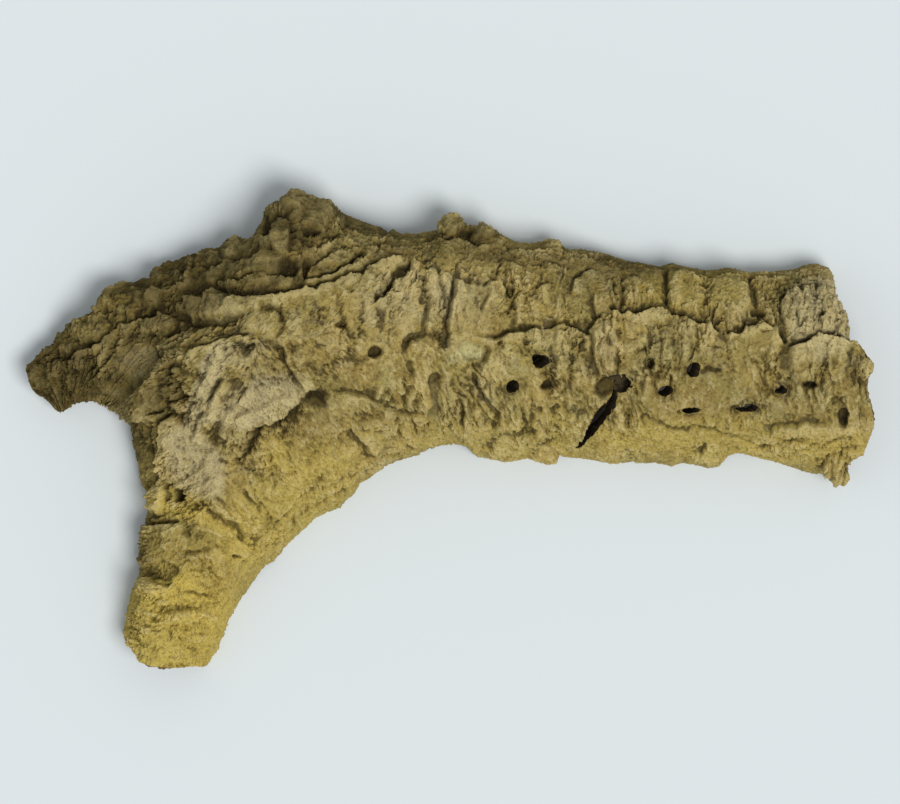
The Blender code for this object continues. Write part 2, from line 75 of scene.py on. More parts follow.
# The plan of the edges, in pixels. Each edge runs from its limb's mouth to the fork.
TRUNK_BACK_EDGE = [
    (834, 276), (828, 268), (815, 264), (803, 266), (797, 269), (768, 272), (752, 272), (742, 270),
    (728, 267), (708, 270), (690, 267), (672, 263), (660, 266), (645, 264), (630, 261), (608, 255),
    (580, 250), (566, 249), (557, 242), (545, 240), (530, 242), (515, 240), (505, 234), (487, 226),
    (465, 224), (458, 219), (450, 218), (444, 221), (441, 229), (420, 233), (400, 233), (392, 229),
    (388, 233), (380, 227), (352, 217), (341, 214),
]
TRUNK_FRONT_EDGE = [
    (849, 478), (842, 482), (834, 479), (826, 472), (816, 474), (800, 470), (775, 461), (748, 454),
    (738, 453), (728, 457), (720, 466), (709, 468), (697, 464), (684, 463), (671, 466), (655, 461),
    (628, 462), (612, 463), (588, 459), (567, 457), (560, 454), (555, 462), (549, 465), (528, 458),
    (507, 462), (478, 457), (466, 446), (455, 444), (443, 445), (432, 448), (412, 456), (392, 462),
    (384, 466), (379, 470),
]
TRUNK_MOUTH = [
    (834, 276), (837, 300), (846, 315), (849, 328), (848, 342), (857, 343), (867, 358), (872, 364),
    (871, 372), (864, 380), (864, 388), (870, 408), (873, 424), (869, 437), (866, 446), (863, 455),
    (852, 460), (848, 466), (849, 478),
]
BACK_LIMB_BACK_EDGE = [
    (36, 359), (42, 350), (55, 338), (70, 330), (78, 320), (92, 312), (100, 302), (110, 293),
    (130, 282), (143, 279), (153, 279), (152, 272), (160, 266), (185, 256), (195, 253), (201, 256),
    (203, 249), (215, 249), (229, 241), (231, 236), (248, 239), (253, 235), (258, 226), (266, 219),
    (268, 209), (277, 204), (287, 205), (295, 196), (312, 204), (328, 205), (337, 214), (341, 214),
]
BACK_LIMB_CROTCH_EDGE = [
    (58, 411), (64, 409), (70, 404), (80, 401), (92, 401), (100, 403), (110, 410), (130, 425),
]
BACK_LIMB_MOUTH = [
    (36, 359), (30, 366), (27, 374), (29, 382), (32, 390), (45, 400), (52, 406), (58, 411),
]
FRONT_LIMB_CROTCH_EDGE = [
    (124, 639), (122, 632), (126, 622), (129, 606), (131, 590), (138, 582), (139, 574), (137, 562),
    (140, 536), (147, 514), (148, 500), (139, 476), (134, 448), (130, 425),
]
FRONT_LIMB_FRONT_EDGE = [
    (206, 666), (210, 659), (217, 650), (219, 642), (224, 634), (226, 624), (232, 611), (248, 588),
    (256, 576), (263, 568), (272, 562), (276, 556), (292, 540), (307, 526), (313, 519), (325, 513),
    (340, 508), (346, 500), (354, 493), (359, 484), (369, 478), (379, 470),
]
FRONT_LIMB_MOUTH = [
    (124, 639), (129, 648), (134, 656), (140, 662), (152, 666), (180, 668), (195, 667), (206, 666),
]

# The lines where the nodes meet, each from the edge of the plan to the top of the fork
BACK_JOINT = [(341, 214), (318, 258), (288, 300), (258, 338)]
FRONT_JOINT = [(379, 470), (340, 432), (300, 386), (258, 338)]
CROTCH_JOINT = [(130, 425), (168, 396), (212, 368), (258, 338)]

# Steps in the bark: height, how far the raised side reaches in pixels, and the line of the step.
# The raised side is on the right of someone who walks along the line.
STEPS = {
    "trunk_step_west": (0.0044, 34, [
        (476, 336), (486, 337), (493, 338), (505, 336), (516, 334), (524, 332), (531, 328), (545, 328),
        (559, 328), (566, 326), (575, 330), (586, 333), (589, 324), (599, 318), (606, 313),
    ]),
    "trunk_step_middle": (0.0056, 36, [
        (606, 311), (623, 314), (640, 315), (658, 312), (664, 309), (670, 316), (685, 319), (700, 324),
        (712, 328), (724, 334),
    ]),
    "trunk_step_east": (0.0050, 30, [
        (724, 334), (738, 333), (750, 329), (761, 323), (766, 330), (775, 337), (786, 347),
    ]),
    "trunk_step_lip": (0.0066, 36, [
        (786, 347), (796, 346), (806, 341), (819, 336), (832, 338), (852, 342),
    ]),
    "block_across_trunk": (0.0044, 22, [(597, 382), (596, 362), (592, 340), (589, 328)]),
    "plate_beside_wide_hole": (0.0018, 12, [(633, 374), (632, 350)]),
    "plate_west_of_pit": (0.0052, 20, [(446, 354), (450, 330), (451, 313), (453, 292), (456, 276)]),
    "plate_at_shoulder": (0.0058, 30, [
        (376, 306), (383, 300), (393, 293), (395, 284), (407, 278), (412, 268), (415, 260),
    ]),
    "plate_east_of_pit": (0.0040, 20, [(478, 378), (483, 366), (488, 358), (490, 346)]),
    "column_at_shoulder": (0.0036, 16, [(430, 338), (427, 326), (426, 308), (427, 290), (428, 274)]),
    "diagonal_plate": (0.0034, 15, [
        (486, 312), (485, 298), (487, 287), (494, 278), (502, 268), (509, 256),
    ]),
    "ragged_column": (0.0032, 12, [(512, 300), (509, 288), (506, 278), (505, 266)]),
    "column_past_it": (0.0024, 14, [(517, 334), (515, 318), (517, 300), (524, 286)]),
    "small_block": (0.0022, 12, [(531, 286), (540, 283), (553, 281)]),
    "side_of_small_block": (0.0020, 10, [(540, 282), (538, 268)]),
    "first_dome": (0.0026, 16, [(573, 298), (576, 282), (588, 274), (596, 266)]),
    "second_dome": (0.0026, 16, [(596, 320), (593, 304), (596, 288)]),
    "third_dome": (0.0024, 16, [(623, 314), (621, 298), (624, 284)]),
    "ledge_below_pit": (0.0030, 18, [(496, 434), (498, 414), (488, 399), (478, 384), (468, 370)]),
    "ledge_along_front": (0.0024, 16, [(482, 452), (500, 440), (515, 435), (530, 431), (544, 430)]),
    "ridge_near_lip": (0.0026, 12, [(756, 434), (775, 427), (795, 424), (822, 421)]),
    "back_ledge_west": (0.0032, 14, [(440, 243), (456, 241), (474, 245), (492, 248)]),
    "back_ledge_east": (0.0034, 14, [(505, 254), (516, 252), (528, 250), (548, 250), (572, 254), (596, 262)]),
    "first_terrace": (0.0052, 22, [
        (186, 299), (210, 296), (230, 297), (250, 295), (272, 297), (293, 295), (304, 292), (320, 288),
        (337, 283), (351, 279), (364, 275), (372, 268), (380, 264), (390, 260), (404, 260),
    ]),
    "second_terrace": (0.0040, 11, [
        (214, 289), (230, 284), (250, 280), (267, 276), (280, 278), (294, 276),
    ]),
    "third_terrace": (0.0046, 12, [
        (303, 279), (309, 281), (317, 280), (326, 277), (340, 273), (346, 268), (353, 263), (361, 255),
        (370, 251),
    ]),
    "thin_ledge": (0.0028, 8, [(308, 266), (317, 263), (325, 259), (332, 255), (343, 250)]),
    "top_ledge": (0.0024, 7, [(302, 250), (315, 248), (322, 249), (330, 245), (342, 240)]),
    "fourth_terrace": (0.0036, 11, [(178, 274), (188, 272), (200, 270), (219, 268), (238, 262), (252, 256)]),
    "limb_valley": (0.0046, 14, [
        (70, 357), (84, 350), (102, 342), (120, 331), (140, 323), (160, 318), (172, 317),
    ]),
    "limb_ledge": (0.0030, 12, [(142, 298), (156, 292), (172, 288), (190, 286)]),
    "crotch_step": (0.0072, 30, [
        (127, 419), (130, 408), (138, 394), (147, 386), (154, 379), (160, 370), (164, 360), (161, 347),
    ]),
    "under_lobe": (0.0040, 16, [(131, 424), (140, 418), (152, 417), (166, 414)]),
    "fork_step": (0.0038, 20, [
        (190, 362), (198, 352), (211, 347), (222, 340), (232, 336), (250, 337), (262, 341),
    ]),
    "beside_long_plate": (0.0040, 26, [(191, 444), (196, 430), (204, 414), (216, 395), (228, 380)]),
    "front_of_pale_plate": (0.0042, 26, [
        (306, 398), (298, 406), (288, 413), (278, 421), (266, 423), (258, 429), (254, 440), (246, 450),
        (236, 457),
    ]),
    "side_of_pale_plate": (0.0030, 16, [(222, 440), (219, 426), (226, 412), (236, 398), (250, 386)]),
    "ledge_on_pale_plate": (0.0022, 12, [(228, 421), (244, 410), (262, 402), (280, 396), (298, 392)]),
    "edge_on_lower_plate": (0.0024, 12, [(186, 478), (200, 466), (212, 450), (228, 440), (240, 428)]),
    "crevice_east_of_fork": (0.0040, 16, [(306, 395), (297, 374), (288, 362), (284, 352), (277, 338)]),
    "edge_of_smooth_dome": (0.0030, 14, [(272, 338), (284, 334), (290, 325), (287, 318), (281, 310)]),
    "spur_step": (0.0064, 20, [
        (200, 505), (192, 493), (178, 483), (166, 474), (160, 460), (160, 440), (164, 425), (172, 414),
    ]),
    "arc_on_front_limb": (0.0034, 18, [
        (248, 541), (240, 530), (234, 521), (226, 514), (214, 509), (202, 505),
    ]),
    "second_arc": (0.0026, 12, [(230, 546), (220, 539), (206, 532), (192, 528)]),
    "short_arc": (0.0022, 10, [(262, 502), (252, 494), (244, 486)]),
    "band_on_front_limb": (0.0036, 24, [(139, 527), (150, 527), (162, 526), (172, 523), (182, 525)]),
    "middle_band": (0.0022, 14, [(176, 552), (196, 551), (216, 552), (236, 553)]),
    "mouth_band": (0.0038, 30, [(132, 582), (146, 578), (153, 583), (166, 585), (176, 580)]),
    "lower_band": (0.0020, 14, [(150, 612), (170, 609), (196, 612), (222, 613)]),
    "curved_ledge": (0.0030, 16, [
        (330, 393), (345, 393), (365, 397), (383, 406), (396, 413), (408, 418), (424, 418),
    ]),
    "plate_at_front_joint": (0.0034, 16, [(380, 457), (370, 448), (362, 440), (354, 430), (351, 418)]),
}
GROOVES = {
    "under_pale_plate": (0.0030, 2.4, [
        (306, 398), (298, 406), (288, 413), (278, 421), (266, 423), (258, 429), (254, 440), (246, 450),
        (236, 457),
    ]),
    "slots_on_front_limb": (0.0034, 2.2, [(186, 595), (194, 594), (200, 597), (208, 595), (214, 597)]),
    "below_shoulder": (0.0060, 4.0, [(403, 350), (407, 343), (414, 339), (422, 338), (431, 336)]),
    "trunk_gutter": (0.0062, 5.0, [(435, 376), (436, 390), (434, 402), (434, 424)]),
    "blocky_ridge_foot": (0.0040, 3.0, [
        (176, 316), (184, 321), (196, 324), (212, 323), (230, 322), (246, 318),
    ]),
    "between_back_plates": (0.0044, 2.6, [(664, 268), (666, 280), (665, 290), (666, 306)]),
    "between_lip_plates": (0.0042, 3.0, [(750, 272), (752, 284), (753, 296), (757, 308)]),
    "beside_back_plates": (0.0018, 2.0, [(700, 286), (704, 300), (706, 314)]),
    "slit_near_rim": (0.0050, 2.8, [(757, 448), (765, 446), (774, 445), (784, 443), (790, 443)]),
    "wedge_near_rim": (0.0048, 2.8, [(461, 409), (463, 416), (465, 430)]),
    "notched_valley": (0.0032, 2.6, [(694, 372), (704, 369), (712, 367), (721, 368)]),
    "ledge_above_front": (0.0020, 1.8, [
        (628, 418), (650, 420), (660, 424), (674, 430), (692, 427), (714, 430), (726, 434), (740, 440),
        (757, 445),
    ]),
    "dark_slot": (0.0032, 2.2, [(541, 444), (549, 440), (557, 438)]),
    "left_rim_groove": (0.0034, 2.4, [(152, 424), (149, 440), (150, 456), (153, 470), (158, 486)]),
    "front_layer_1": (0.0020, 1.7, [
        (350, 490), (330, 499), (312, 508), (296, 521), (282, 535), (268, 549), (256, 565), (242, 592),
    ]),
    "front_layer_2": (0.0016, 1.5, [
        (330, 468), (316, 486), (300, 502), (286, 516), (270, 532), (256, 548), (244, 566), (232, 590),
    ]),
    "front_layer_3": (0.0014, 1.5, [(364, 470), (346, 480), (328, 488), (314, 496)]),
    "thin_crack": (0.0022, 1.5, [(321, 306), (320, 316), (322, 327)]),
    "beside_ochre_plate": (0.0020, 1.8, [(298, 408), (290, 422), (284, 436), (288, 450), (298, 464)]),
    "tooth_1": (0.0030, 2.2, [(163, 369), (172, 367), (184, 364)]),
    "tooth_2": (0.0036, 2.4, [(163, 383), (172, 383), (186, 380)]),
    "tooth_3": (0.0038, 2.4, [(166, 400), (176, 400), (188, 396)]),
    "tooth_4": (0.0034, 2.2, [(168, 413), (178, 415), (186, 412)]),
    "slit_on_limb": (0.0036, 2.0, [(90, 390), (97, 388), (106, 391)]),
    "diagonal_mark": (0.0020, 2.0, [(556, 400), (562, 392), (570, 386)]),
    "back_pale_crack": (0.0030, 2.4, [(575, 281), (580, 278), (585, 276)]),
    "front_notch": (0.0062, 3.4, [(307, 398), (315, 396), (323, 398), (328, 403)]),
    "foot_of_front_notch": (0.0036, 4.6, [(317, 400), (318, 410), (320, 420)]),
    "edge_of_smooth_pit": (0.0050, 2.0, [(481, 342), (487, 346), (489, 352), (486, 359), (480, 364)]),
    "rim_crack_west": (0.0026, 2.0, [(404, 440), (412, 446), (420, 452)]),
}
RIDGES = {
    "gutter_edge": (0.0020, 1.8, [(440, 366), (447, 378), (453, 394), (455, 412)]),
    "pale_line_1": (0.0020, 1.5, [(508, 257), (499, 266), (490, 281), (482, 292), (480, 312), (478, 330)]),
    "pale_line_2": (0.0018, 1.4, [(562, 265), (558, 282), (554, 294)]),
    "pale_line_3": (0.0018, 1.4, [(567, 266), (561, 287), (558, 310), (557, 326)]),
    "crest_of_block": (0.0026, 2.6, [(607, 320), (604, 336), (602, 352), (603, 368)]),
    "edge_of_split": (0.0018, 1.6, [(609, 391), (600, 402), (590, 418), (585, 432), (580, 450)]),
    "crest_of_limb": (0.0026, 3.6, [(112, 338), (108, 350), (104, 362), (105, 376), (114, 394)]),
    "ridge_of_notch": (0.0026, 2.4, [(329, 392), (331, 410), (333, 436), (336, 462)]),
    "rim_of_small_hollow": (0.0030, 2.4, [(301, 257), (299, 266), (302, 276)]),
}

# Plates with level tops, and rounded lumps: centre, half sizes in pixels, turn in degrees, height
PLATES = {
    "pale_plate_upper": (262, 404, 42, 17, -14, 0.0016),
    "pale_plate_lower": (194, 462, 38, 22, 56, 0.0018),
    "long_pale_plate": (204, 398, 7, 44, 20, 0.0026),
    "block_at_crotch": (178, 343, 20, 8, -28, 0.0040),
    "column_below_knob": (282, 240, 8, 18, -12, 0.0046),
    "back_plate_1": (638, 292, 15, 16, 0, 0.0024),
    "back_plate_2": (686, 292, 17, 20, 0, 0.0030),
    "back_plate_3": (730, 298, 18, 28, 4, 0.0030),
    "lip_plate": (808, 312, 30, 24, -4, 0.0034),
    "blocky_ridge": (210, 309, 34, 8, -2, 0.0044),
    "low_block": (176, 540, 12, 14, 0, 0.0026),
    "mouth_bulge": (150, 612, 24, 28, 0, 0.0022),
    "left_spur": (159, 492, 7, 20, 12, 0.0070),
    "right_spur": (196, 492, 7, 14, 26, 0.0066),
}
LUMPS = {
    "knob": (312, 215, 29, 22, 18, 0.0086),
    "knob_peak": (298, 206, 14, 13, 0, 0.0050),
    "knob_beside_it": (275, 213, 9, 10, 0, 0.0052),
    "lobe_beside_column": (267, 245, 7, 7, 0, 0.0044),
    "smooth_bulge": (266, 265, 18, 11, -8, 0.0050),
    "knob_on_trunk_back": (452, 225, 12, 9, 0, 0.0056),
    "second_back_knob": (482, 231, 11, 8, 12, 0.0050),
    "third_back_knob": (487, 241, 16, 6, 8, 0.0032),
    "far_back_knob": (553, 244, 9, 6, 10, 0.0034),
    "olive_dome": (104, 304, 10, 13, 24, 0.0050),
    "ochre_lump": (126, 302, 15, 14, 0, 0.0056),
    "green_lump": (127, 321, 10, 9, 0, 0.0040),
    "wide_lump": (90, 328, 18, 13, -12, 0.0056),
    "grey_lump": (65, 340, 10, 12, 0, 0.0036),
    "row_of_lumps_1": (57, 367, 8, 8, 0, 0.0032),
    "row_of_lumps_2": (71, 366, 8, 7, 0, 0.0034),
    "lump_at_tip": (40, 377, 10, 12, 0, 0.0034),
    "shard_at_tip": (60, 403, 8, 7, 0, 0.0030),
    "long_rib": (156, 326, 18, 7, -20, 0.0040),
    "ridge_lump_1": (152, 296, 14, 10, -20, 0.0036),
    "ridge_lump_2": (176, 283, 15, 9, -18, 0.0036),
    "ridge_lump_3": (204, 262, 16, 8, -16, 0.0036),
    "ridge_lump_4": (236, 249, 14, 8, -20, 0.0036),
    "ridge_lump_5": (228, 276, 20, 7, -14, 0.0028),
    "crotch_lobe": (147, 403, 17, 13, -32, 0.0058),
    "smooth_dome": (266, 327, 20, 12, 0, 0.0030),
    "column_east_of_dome": (297, 340, 6, 24, -8, 0.0028),
    "front_crescent": (246, 512, 12, 22, -38, 0.0026),
    "lip_lobe": (866, 367, 9, 10, 0, 0.0040),
    "lip_ridge": (806, 432, 46, 8, -2, 0.0026),
    "rim_knob": (834, 467, 11, 9, 0, 0.0050),
    "rim_knob_below": (841, 477, 8, 6, 0, 0.0040),
    "front_rim_lump_1": (550, 456, 15, 11, 0, 0.0030),
    "front_rim_lump_2": (712, 456, 16, 12, 0, 0.0030),
    "front_rim_lump_3": (612, 452, 16, 10, 0, 0.0024),
    "front_rim_lump_4": (502, 452, 18, 9, 0, 0.0024),
}
PITS = {
    "beside_smooth_bulge": (290, 268, 8, 9, 30, 0.0072),
    "small_hollow": (306, 268, 4, 10, 0, 0.0052),
    "behind_column": (269, 232, 5, 7, 0, 0.0058),
    "below_knob": (311, 234, 7, 4, 0, 0.0058),
    "valley_in_ridge": (358, 259, 10, 4, -36, 0.0044),
    "pocket_at_shoulder": (403, 273, 10, 7, -30, 0.0044),
    "beside_back_knob": (466, 234, 5, 4, 0, 0.0044),
    "smooth_pit": (474, 351, 12, 9, 20, 0.0044),
    "round_pit": (374, 353, 5, 4.5, 0, 0.0058),
    "ragged_hole": (511, 288, 4, 9, 0, 0.0044),
    "dark_pit_at_back": (757, 313, 6, 6, 0, 0.0068),
    "pit_under_back_plate": (700, 321, 5, 3, 0, 0.0040),
    "crumbled_patch": (162, 571, 17, 8, 0, 0.0038),
    "gutter_head": (435, 380, 5, 7, 0, 0.0034),
    "lip_crevice": (843, 417, 4, 7, 0, 0.0062),
    "ramp_of_wide_hole": (606, 387, 12, 8, -22, 0.0060),
    "below_oval_hole": (545, 385, 5.0, 5, 0, 0.0064),
    "between_spurs": (180, 494, 7, 8, 30, 0.0090),
    "dark_corner": (167, 356, 5, 6, 0, 0.0040),
    "fork_hollow": (249, 350, 7, 4.5, -30, 0.0036),
    "pock_1": (500, 343, 3, 2.6, 0, 0.0036),
    "pock_2": (651, 364, 3, 4, 0, 0.0044),
    "pock_3": (808, 384, 5.5, 3, 0, 0.0052),
    "pock_4": (564, 332, 3.4, 2.6, 0, 0.0036),
    "pock_5": (525, 341, 2.4, 3, 0, 0.0030),
    "pock_6": (820, 316, 3, 3, 0, 0.0036),
    "pock_7": (557, 409, 4, 3, 0, 0.0026),
    "pock_8": (539, 409, 3, 2.6, 0, 0.0026),
    "pock_9": (185, 533, 3.6, 2.6, 0, 0.0034),
    "pock_10": (240, 557, 4, 3, 0, 0.0030),
    "pock_11": (702, 447, 4, 3, 0, 0.0038),
    "pock_12": (412, 364, 3, 6, 0, 0.0028),
    "pock_13": (341, 325, 5, 3, -20, 0.0034),
}
BORINGS = {
    "round_hole": (512, 387, 7.0, 6.8, 0),
    "oval_hole": (540, 361, 9.4, 7.4, 0),
    "east_hole": (665, 391, 7.4, 5.8, 0),
    "notched_hole": (693, 370, 7.0, 7.4, 0),
    "west_slot": (691, 411, 9.0, 3.6, 0),
    "east_slot": (748, 409, 10.5, 4.6, 0),
    "lip_hole": (781, 391, 6.4, 4.8, 0),
}
BORING_SIDES = 28
# How far the borings lean to the right and up the picture for each unit that they go down
BORING_LEAN = (-0.40, 0.26)
WIDE_HOLE_LEAN = (1.35, 0.25)
SPLIT_LEAN = (-0.30, 0.08)
BORING_FUNNEL = 0.0014  # how deep the bark sinks around each boring
WIDE_HOLE = [
    (603, 379), (609, 373), (616, 376), (622, 373), (630, 373), (633, 379), (631, 387), (624, 392),
    (615, 394), (606, 392), (601, 386),
]
SPLIT = [
    (611, 388), (608, 394), (604, 400), (599, 406), (595, 412), (592, 419), (590, 427), (588, 435),
    (588, 443), (588, 452), (591, 450), (594, 443), (597, 436), (601, 428), (605, 421), (609, 414),
    (612, 406), (614, 398), (614, 390),
]

# Places where the rim stands clear of the ground: pixel, radius in pixels, height
RIM_GAPS = {
    "front_notch": (452, 445, 34, 0.0070),
    "front_bay": (740, 454, 26, 0.0055),
    "front_chip": (561, 456, 14, 0.0040),
    "back_bay": (404, 233, 40, 0.0065),
    "back_chip": (700, 269, 26, 0.0040),
    "back_limb_bay": (205, 252, 34, 0.0055),
    "crotch_bay": (100, 403, 28, 0.0045),
    "front_limb_bay": (139, 570, 20, 0.0040),
    "front_limb_outer_bay": (262, 569, 26, 0.0050),
}
RIM_GAP_FLOOR = 0.0006  # gaps lower than this are closed, so that the rim rests flat
RIM_LIFT_REACH = 0.012  # how far up the wall a lifted rim is felt

STEP_SOFTNESS = 1.2  # half the width of a step's face, in pixels
FOOT_DEPTH, FOOT_REACH = 0.40, 8.0  # the dip before a step, as a share of its height, and its width
CREVICE = 0.75  # the narrow crevice along a step's foot, as a share of the step's height
MOST_RELIEF = 0.0100
INSIDE_PASSES = 20  # of evening out over the inside

# The bark's own texture. Sizes are in pixels of the photograph, heights and depths in metres.
WARPS = ((26.0, 5.0), (10.0, 2.6), (4.5, 1.5))  # size and shift of what makes the drawn lines ragged
BULGE_PIXELS, BULGE = 46.0, 0.0018
FOLD_PIXELS, FOLD = 19.0, 0.0050
LEDGE_PIXELS, LEDGE, LEDGES_DEEP = 34.0, 0.0032, 2.8
LINE_PIXELS, LINE = 4.4, 0.0016
DRAWN = 3.2  # how much longer than wide the folds and plates are
LINES_DRAWN = 8.0
FRAY = 2.5  # how far their edges are frayed, in pixels
EDGE_START = 0.86  # where the sharp edge of a plate begins, as a share of it
CRUMB_PIXELS, CRUMB = 6.0, 0.0007
GRAIN_PIXELS, GRAIN = 2.6, 0.0007
BOULDER_PIXELS, BOULDER = 22.0, 0.0085
PIT_PIXELS, PIT = 9.0, 0.0012
SHELF_PIXELS, SHELF = 9.0, 0.0012  # the ledges that run along the walls
TORN_PIXELS, TORN = 8.0, 0.0024  # how far the torn ends stand in and out
SHARP_ANGLE = 62.0

# The long trunk is made in three pieces: the first and last row of each. The first two are bored.
TRUNK_PIECES = {
    "trunk_mouth_bark": (0, 228),
    "trunk_middle_bark": (228, 408),
    "trunk_fork_bark": (408, 558),
}
BORED_PIECES = ("trunk_mouth_bark", "trunk_middle_bark")
BARK, LINING, TORN_BARK, BORED = range(4)  # the material slots of each piece

# Patches of colour and of texture: centre, half sizes in pixels, turn in degrees, strength
PATCHES = {
    "pale": {
        "plate_upper": (262, 400, 46, 20, -20, 0.9),
        "above_plate": (240, 352, 28, 12, -10, 0.5),
        "plate_lower": (198, 460, 38, 21, 56, 0.9),
        "long_plate": (206, 392, 12, 44, 20, 0.9),
        "lip": (822, 315, 40, 42, 0, 0.7),
        "back_limb_flat": (142, 362, 24, 16, -20, 0.4),
        "shoulder": (400, 300, 50, 30, 0, 0.46),
        "columns": (470, 300, 30, 34, 0, 0.42),
        "crest_of_block": (606, 345, 10, 26, 0, 0.5),
    },
    "green": {
        "smooth_pit": (473, 352, 12, 8, 20, 1.0),
        "swoosh_beside_pit": (458, 358, 14, 5, -30, 0.6),
        "gutter": (435, 402, 5, 24, 0, 0.2),
    },
    "ochre": {
        "mouth_of_front_limb": (168, 635, 62, 58, 0, 0.85),
        "middle_of_front_limb": (205, 560, 60, 60, 30, 0.4),
        "outer_side_of_front_limb": (292, 500, 80, 36, -38, 0.5),
        "ochre_plate": (274, 450, 18, 14, -50, 0.5),
        "low_on_trunk": (745, 440, 120, 22, 3, 0.5),
        "front_of_trunk": (520, 440, 110, 24, 0, 0.3),
        "spurs": (176, 504, 34, 14, 20, 0.7),
        "crotch": (140, 450, 18, 40, 0, 0.4),
        "limb_lumps": (108, 310, 34, 24, -20, 0.4),
        "back_plates": (690, 285, 60, 24, 0, 0.45),
    },
    # Darker patches: painted shade in holes, pits, crevices and notches and on sides that face away from the light,
    # and partly darker bark
    "shade": {
        "ramp_of_wide_hole": (607, 387, 11, 8, -22, 1.2),
        "between_spurs": (181, 496, 8, 8, 30, 1.0),
        "under_pale_plate": (250, 440, 22, 5, -56, 0.6),
        "teeth": (172, 390, 10, 30, 8, 0.6),
        "below_oval_hole": (545, 385, 4.5, 4, 0, 1.2),
        "round_pit": (374, 353, 5, 4.5, 0, 0.8),
        "lip_crevice": (843, 417, 4, 8, 0, 1.0),
        "pocks": (651, 364, 4, 5, 0, 1.0),
        "lip_pock": (808, 384, 6, 4, 0, 1.0),
        "gutter": (434, 398, 4, 22, 0, 0.7),
        "front_notch": (318, 401, 10, 8, 0, 1.1),
        "terraces": (330, 272, 64, 20, -14, 0.6),
        "front_limb_upper": (170, 545, 36, 30, 0, 0.2),
        "back_of_crown": (600, 268, 90, 16, 2, 0.4),
        "back_limb": (96, 334, 112, 66, -32, 1.0),
        "limb_tip": (50, 382, 40, 30, 0, 1.2),
        "trunk_east": (730, 384, 130, 44, 2, 0.30),
        "low_east": (720, 430, 130, 24, 2, 0.10),
        "crown_east": (690, 290, 130, 30, 2, 0.32),
        "back_ridge": (235, 258, 96, 44, -24, 0.95),
        "knobs": (306, 216, 50, 26, 8, 0.2),
        "back_knobs": (470, 231, 34, 14, 8, 0.4),
        "fork": (270, 380, 96, 66, 0, 0.24),
        "leg": (200, 570, 70, 90, 20, 0.12),
        "back_edge_of_trunk": (600, 252, 270, 16, 4, 0.45),
        "back_slope": (450, 250, 60, 14, 4, 0.5),
        "red_edge": (365, 224, 34, 9, 20, 0.9),
        "inner_side_of_front_limb": (138, 490, 14, 90, 0, 0.7),
        "crotch": (150, 420, 22, 40, 20, 0.5),
    },
    "boulders": {
        "back_limb": (84, 322, 90, 34, -34, 0.8),
        "back_ridge": (225, 245, 96, 22, -20, 0.5),
        "knobs": (300, 215, 40, 20, 8, 0.3),
        "back_knobs": (490, 236, 70, 10, 6, 0.4),
    },
    "terraces": {
        "ridge": (290, 262, 120, 34, -14, 0.9),
        "back_edge": (600, 256, 260, 18, 4, 0.8),
        "front_edge": (640, 448, 240, 14, 0, 0.7),
        "front_limb_edge": (310, 520, 100, 16, -42, 0.8),
        "near_lip": (800, 436, 60, 20, 0, 0.7),
    },
    "bands": {
        "front_limb": (180, 590, 90, 96, 20, 1.0),
        "spurs": (190, 500, 60, 40, 20, 0.5),
        "lip": (820, 312, 44, 36, 0, 0.8),
    },
    "rugged": {
        "fork_top": (290, 360, 60, 34, 0, 0.8),
        "between_plates": (240, 362, 44, 18, -10, 0.9),
        "teeth": (178, 392, 16, 34, 10, 0.9),
        "pale_plates": (232, 425, 66, 46, -40, 1.0),
        "front_limb_top": (300, 440, 54, 34, -30, 0.8),
    },
    "calm": {
        "smooth_pit": (475, 350, 17, 12, 10, 1.6),
        "gutter": (435, 402, 5, 26, 0, 0.9),
        "front_notch": (318, 408, 5, 10, -8, 0.8),
        "smooth_dome": (266, 327, 18, 11, 0, 0.4),
        "smooth_bulge": (268, 265, 16, 10, -8, 0.7),
        "slab_on_limb": (140, 366, 24, 22, -20, 0.7),
        "limb_lumps": (105, 312, 60, 26, -32, 0.35),
        "foot_of_slab": (118, 396, 22, 10, 30, 0.7),
        "knob": (312, 212, 26, 14, 18, 0.5),
        "ramp": (606, 388, 9, 6, -20, 0.9),
        "east_slope": (755, 341, 24, 8, 0, 0.7),
        "below_lip": (796, 468, 24, 7, 5, 0.8),
        "front_limb": (185, 590, 60, 84, 16, 0.48),
        "front_limb_top": (290, 470, 80, 36, -38, 0.42),
        "pale_plate_upper": (264, 402, 40, 17, -20, 0.55),
        "pale_plate_lower": (200, 458, 34, 18, 56, 0.50),
        "columns": (500, 298, 90, 34, 0, 0.25),
        "back_plates": (700, 292, 64, 22, 0, 0.30),
        "trunk_east": (720, 400, 120, 36, 2, 0.15),
    },
}


def smooth(t):
    """A smooth rise from 0 to 1 as t goes from 0 to 1."""
    t = np.clip(t, 0.0, 1.0)
    return t * t * (3.0 - 2.0 * t)


def along(points, shares):
    """The points at these shares of a polyline's length."""
    points = np.array(points, float)
    lengths = np.concatenate([[0.0], np.cumsum(np.linalg.norm(np.diff(points, axis=0), axis=1))])
    at = np.asarray(shares, float) * lengths[-1]
    return np.stack([np.interp(at, lengths, points[:, k]) for k in (0, 1)], axis=-1)


def joint_line(first, second, shares):
    """The line where an arm ends at the fork: along one joint to the top, and back along the other."""
    up = along(first, np.clip(2.0 * shares, 0.0, 1.0))
    down = along(second, np.clip(2.0 - 2.0 * shares, 0.0, 1.0))
    return np.where((shares <= 0.5)[:, None], up, down)


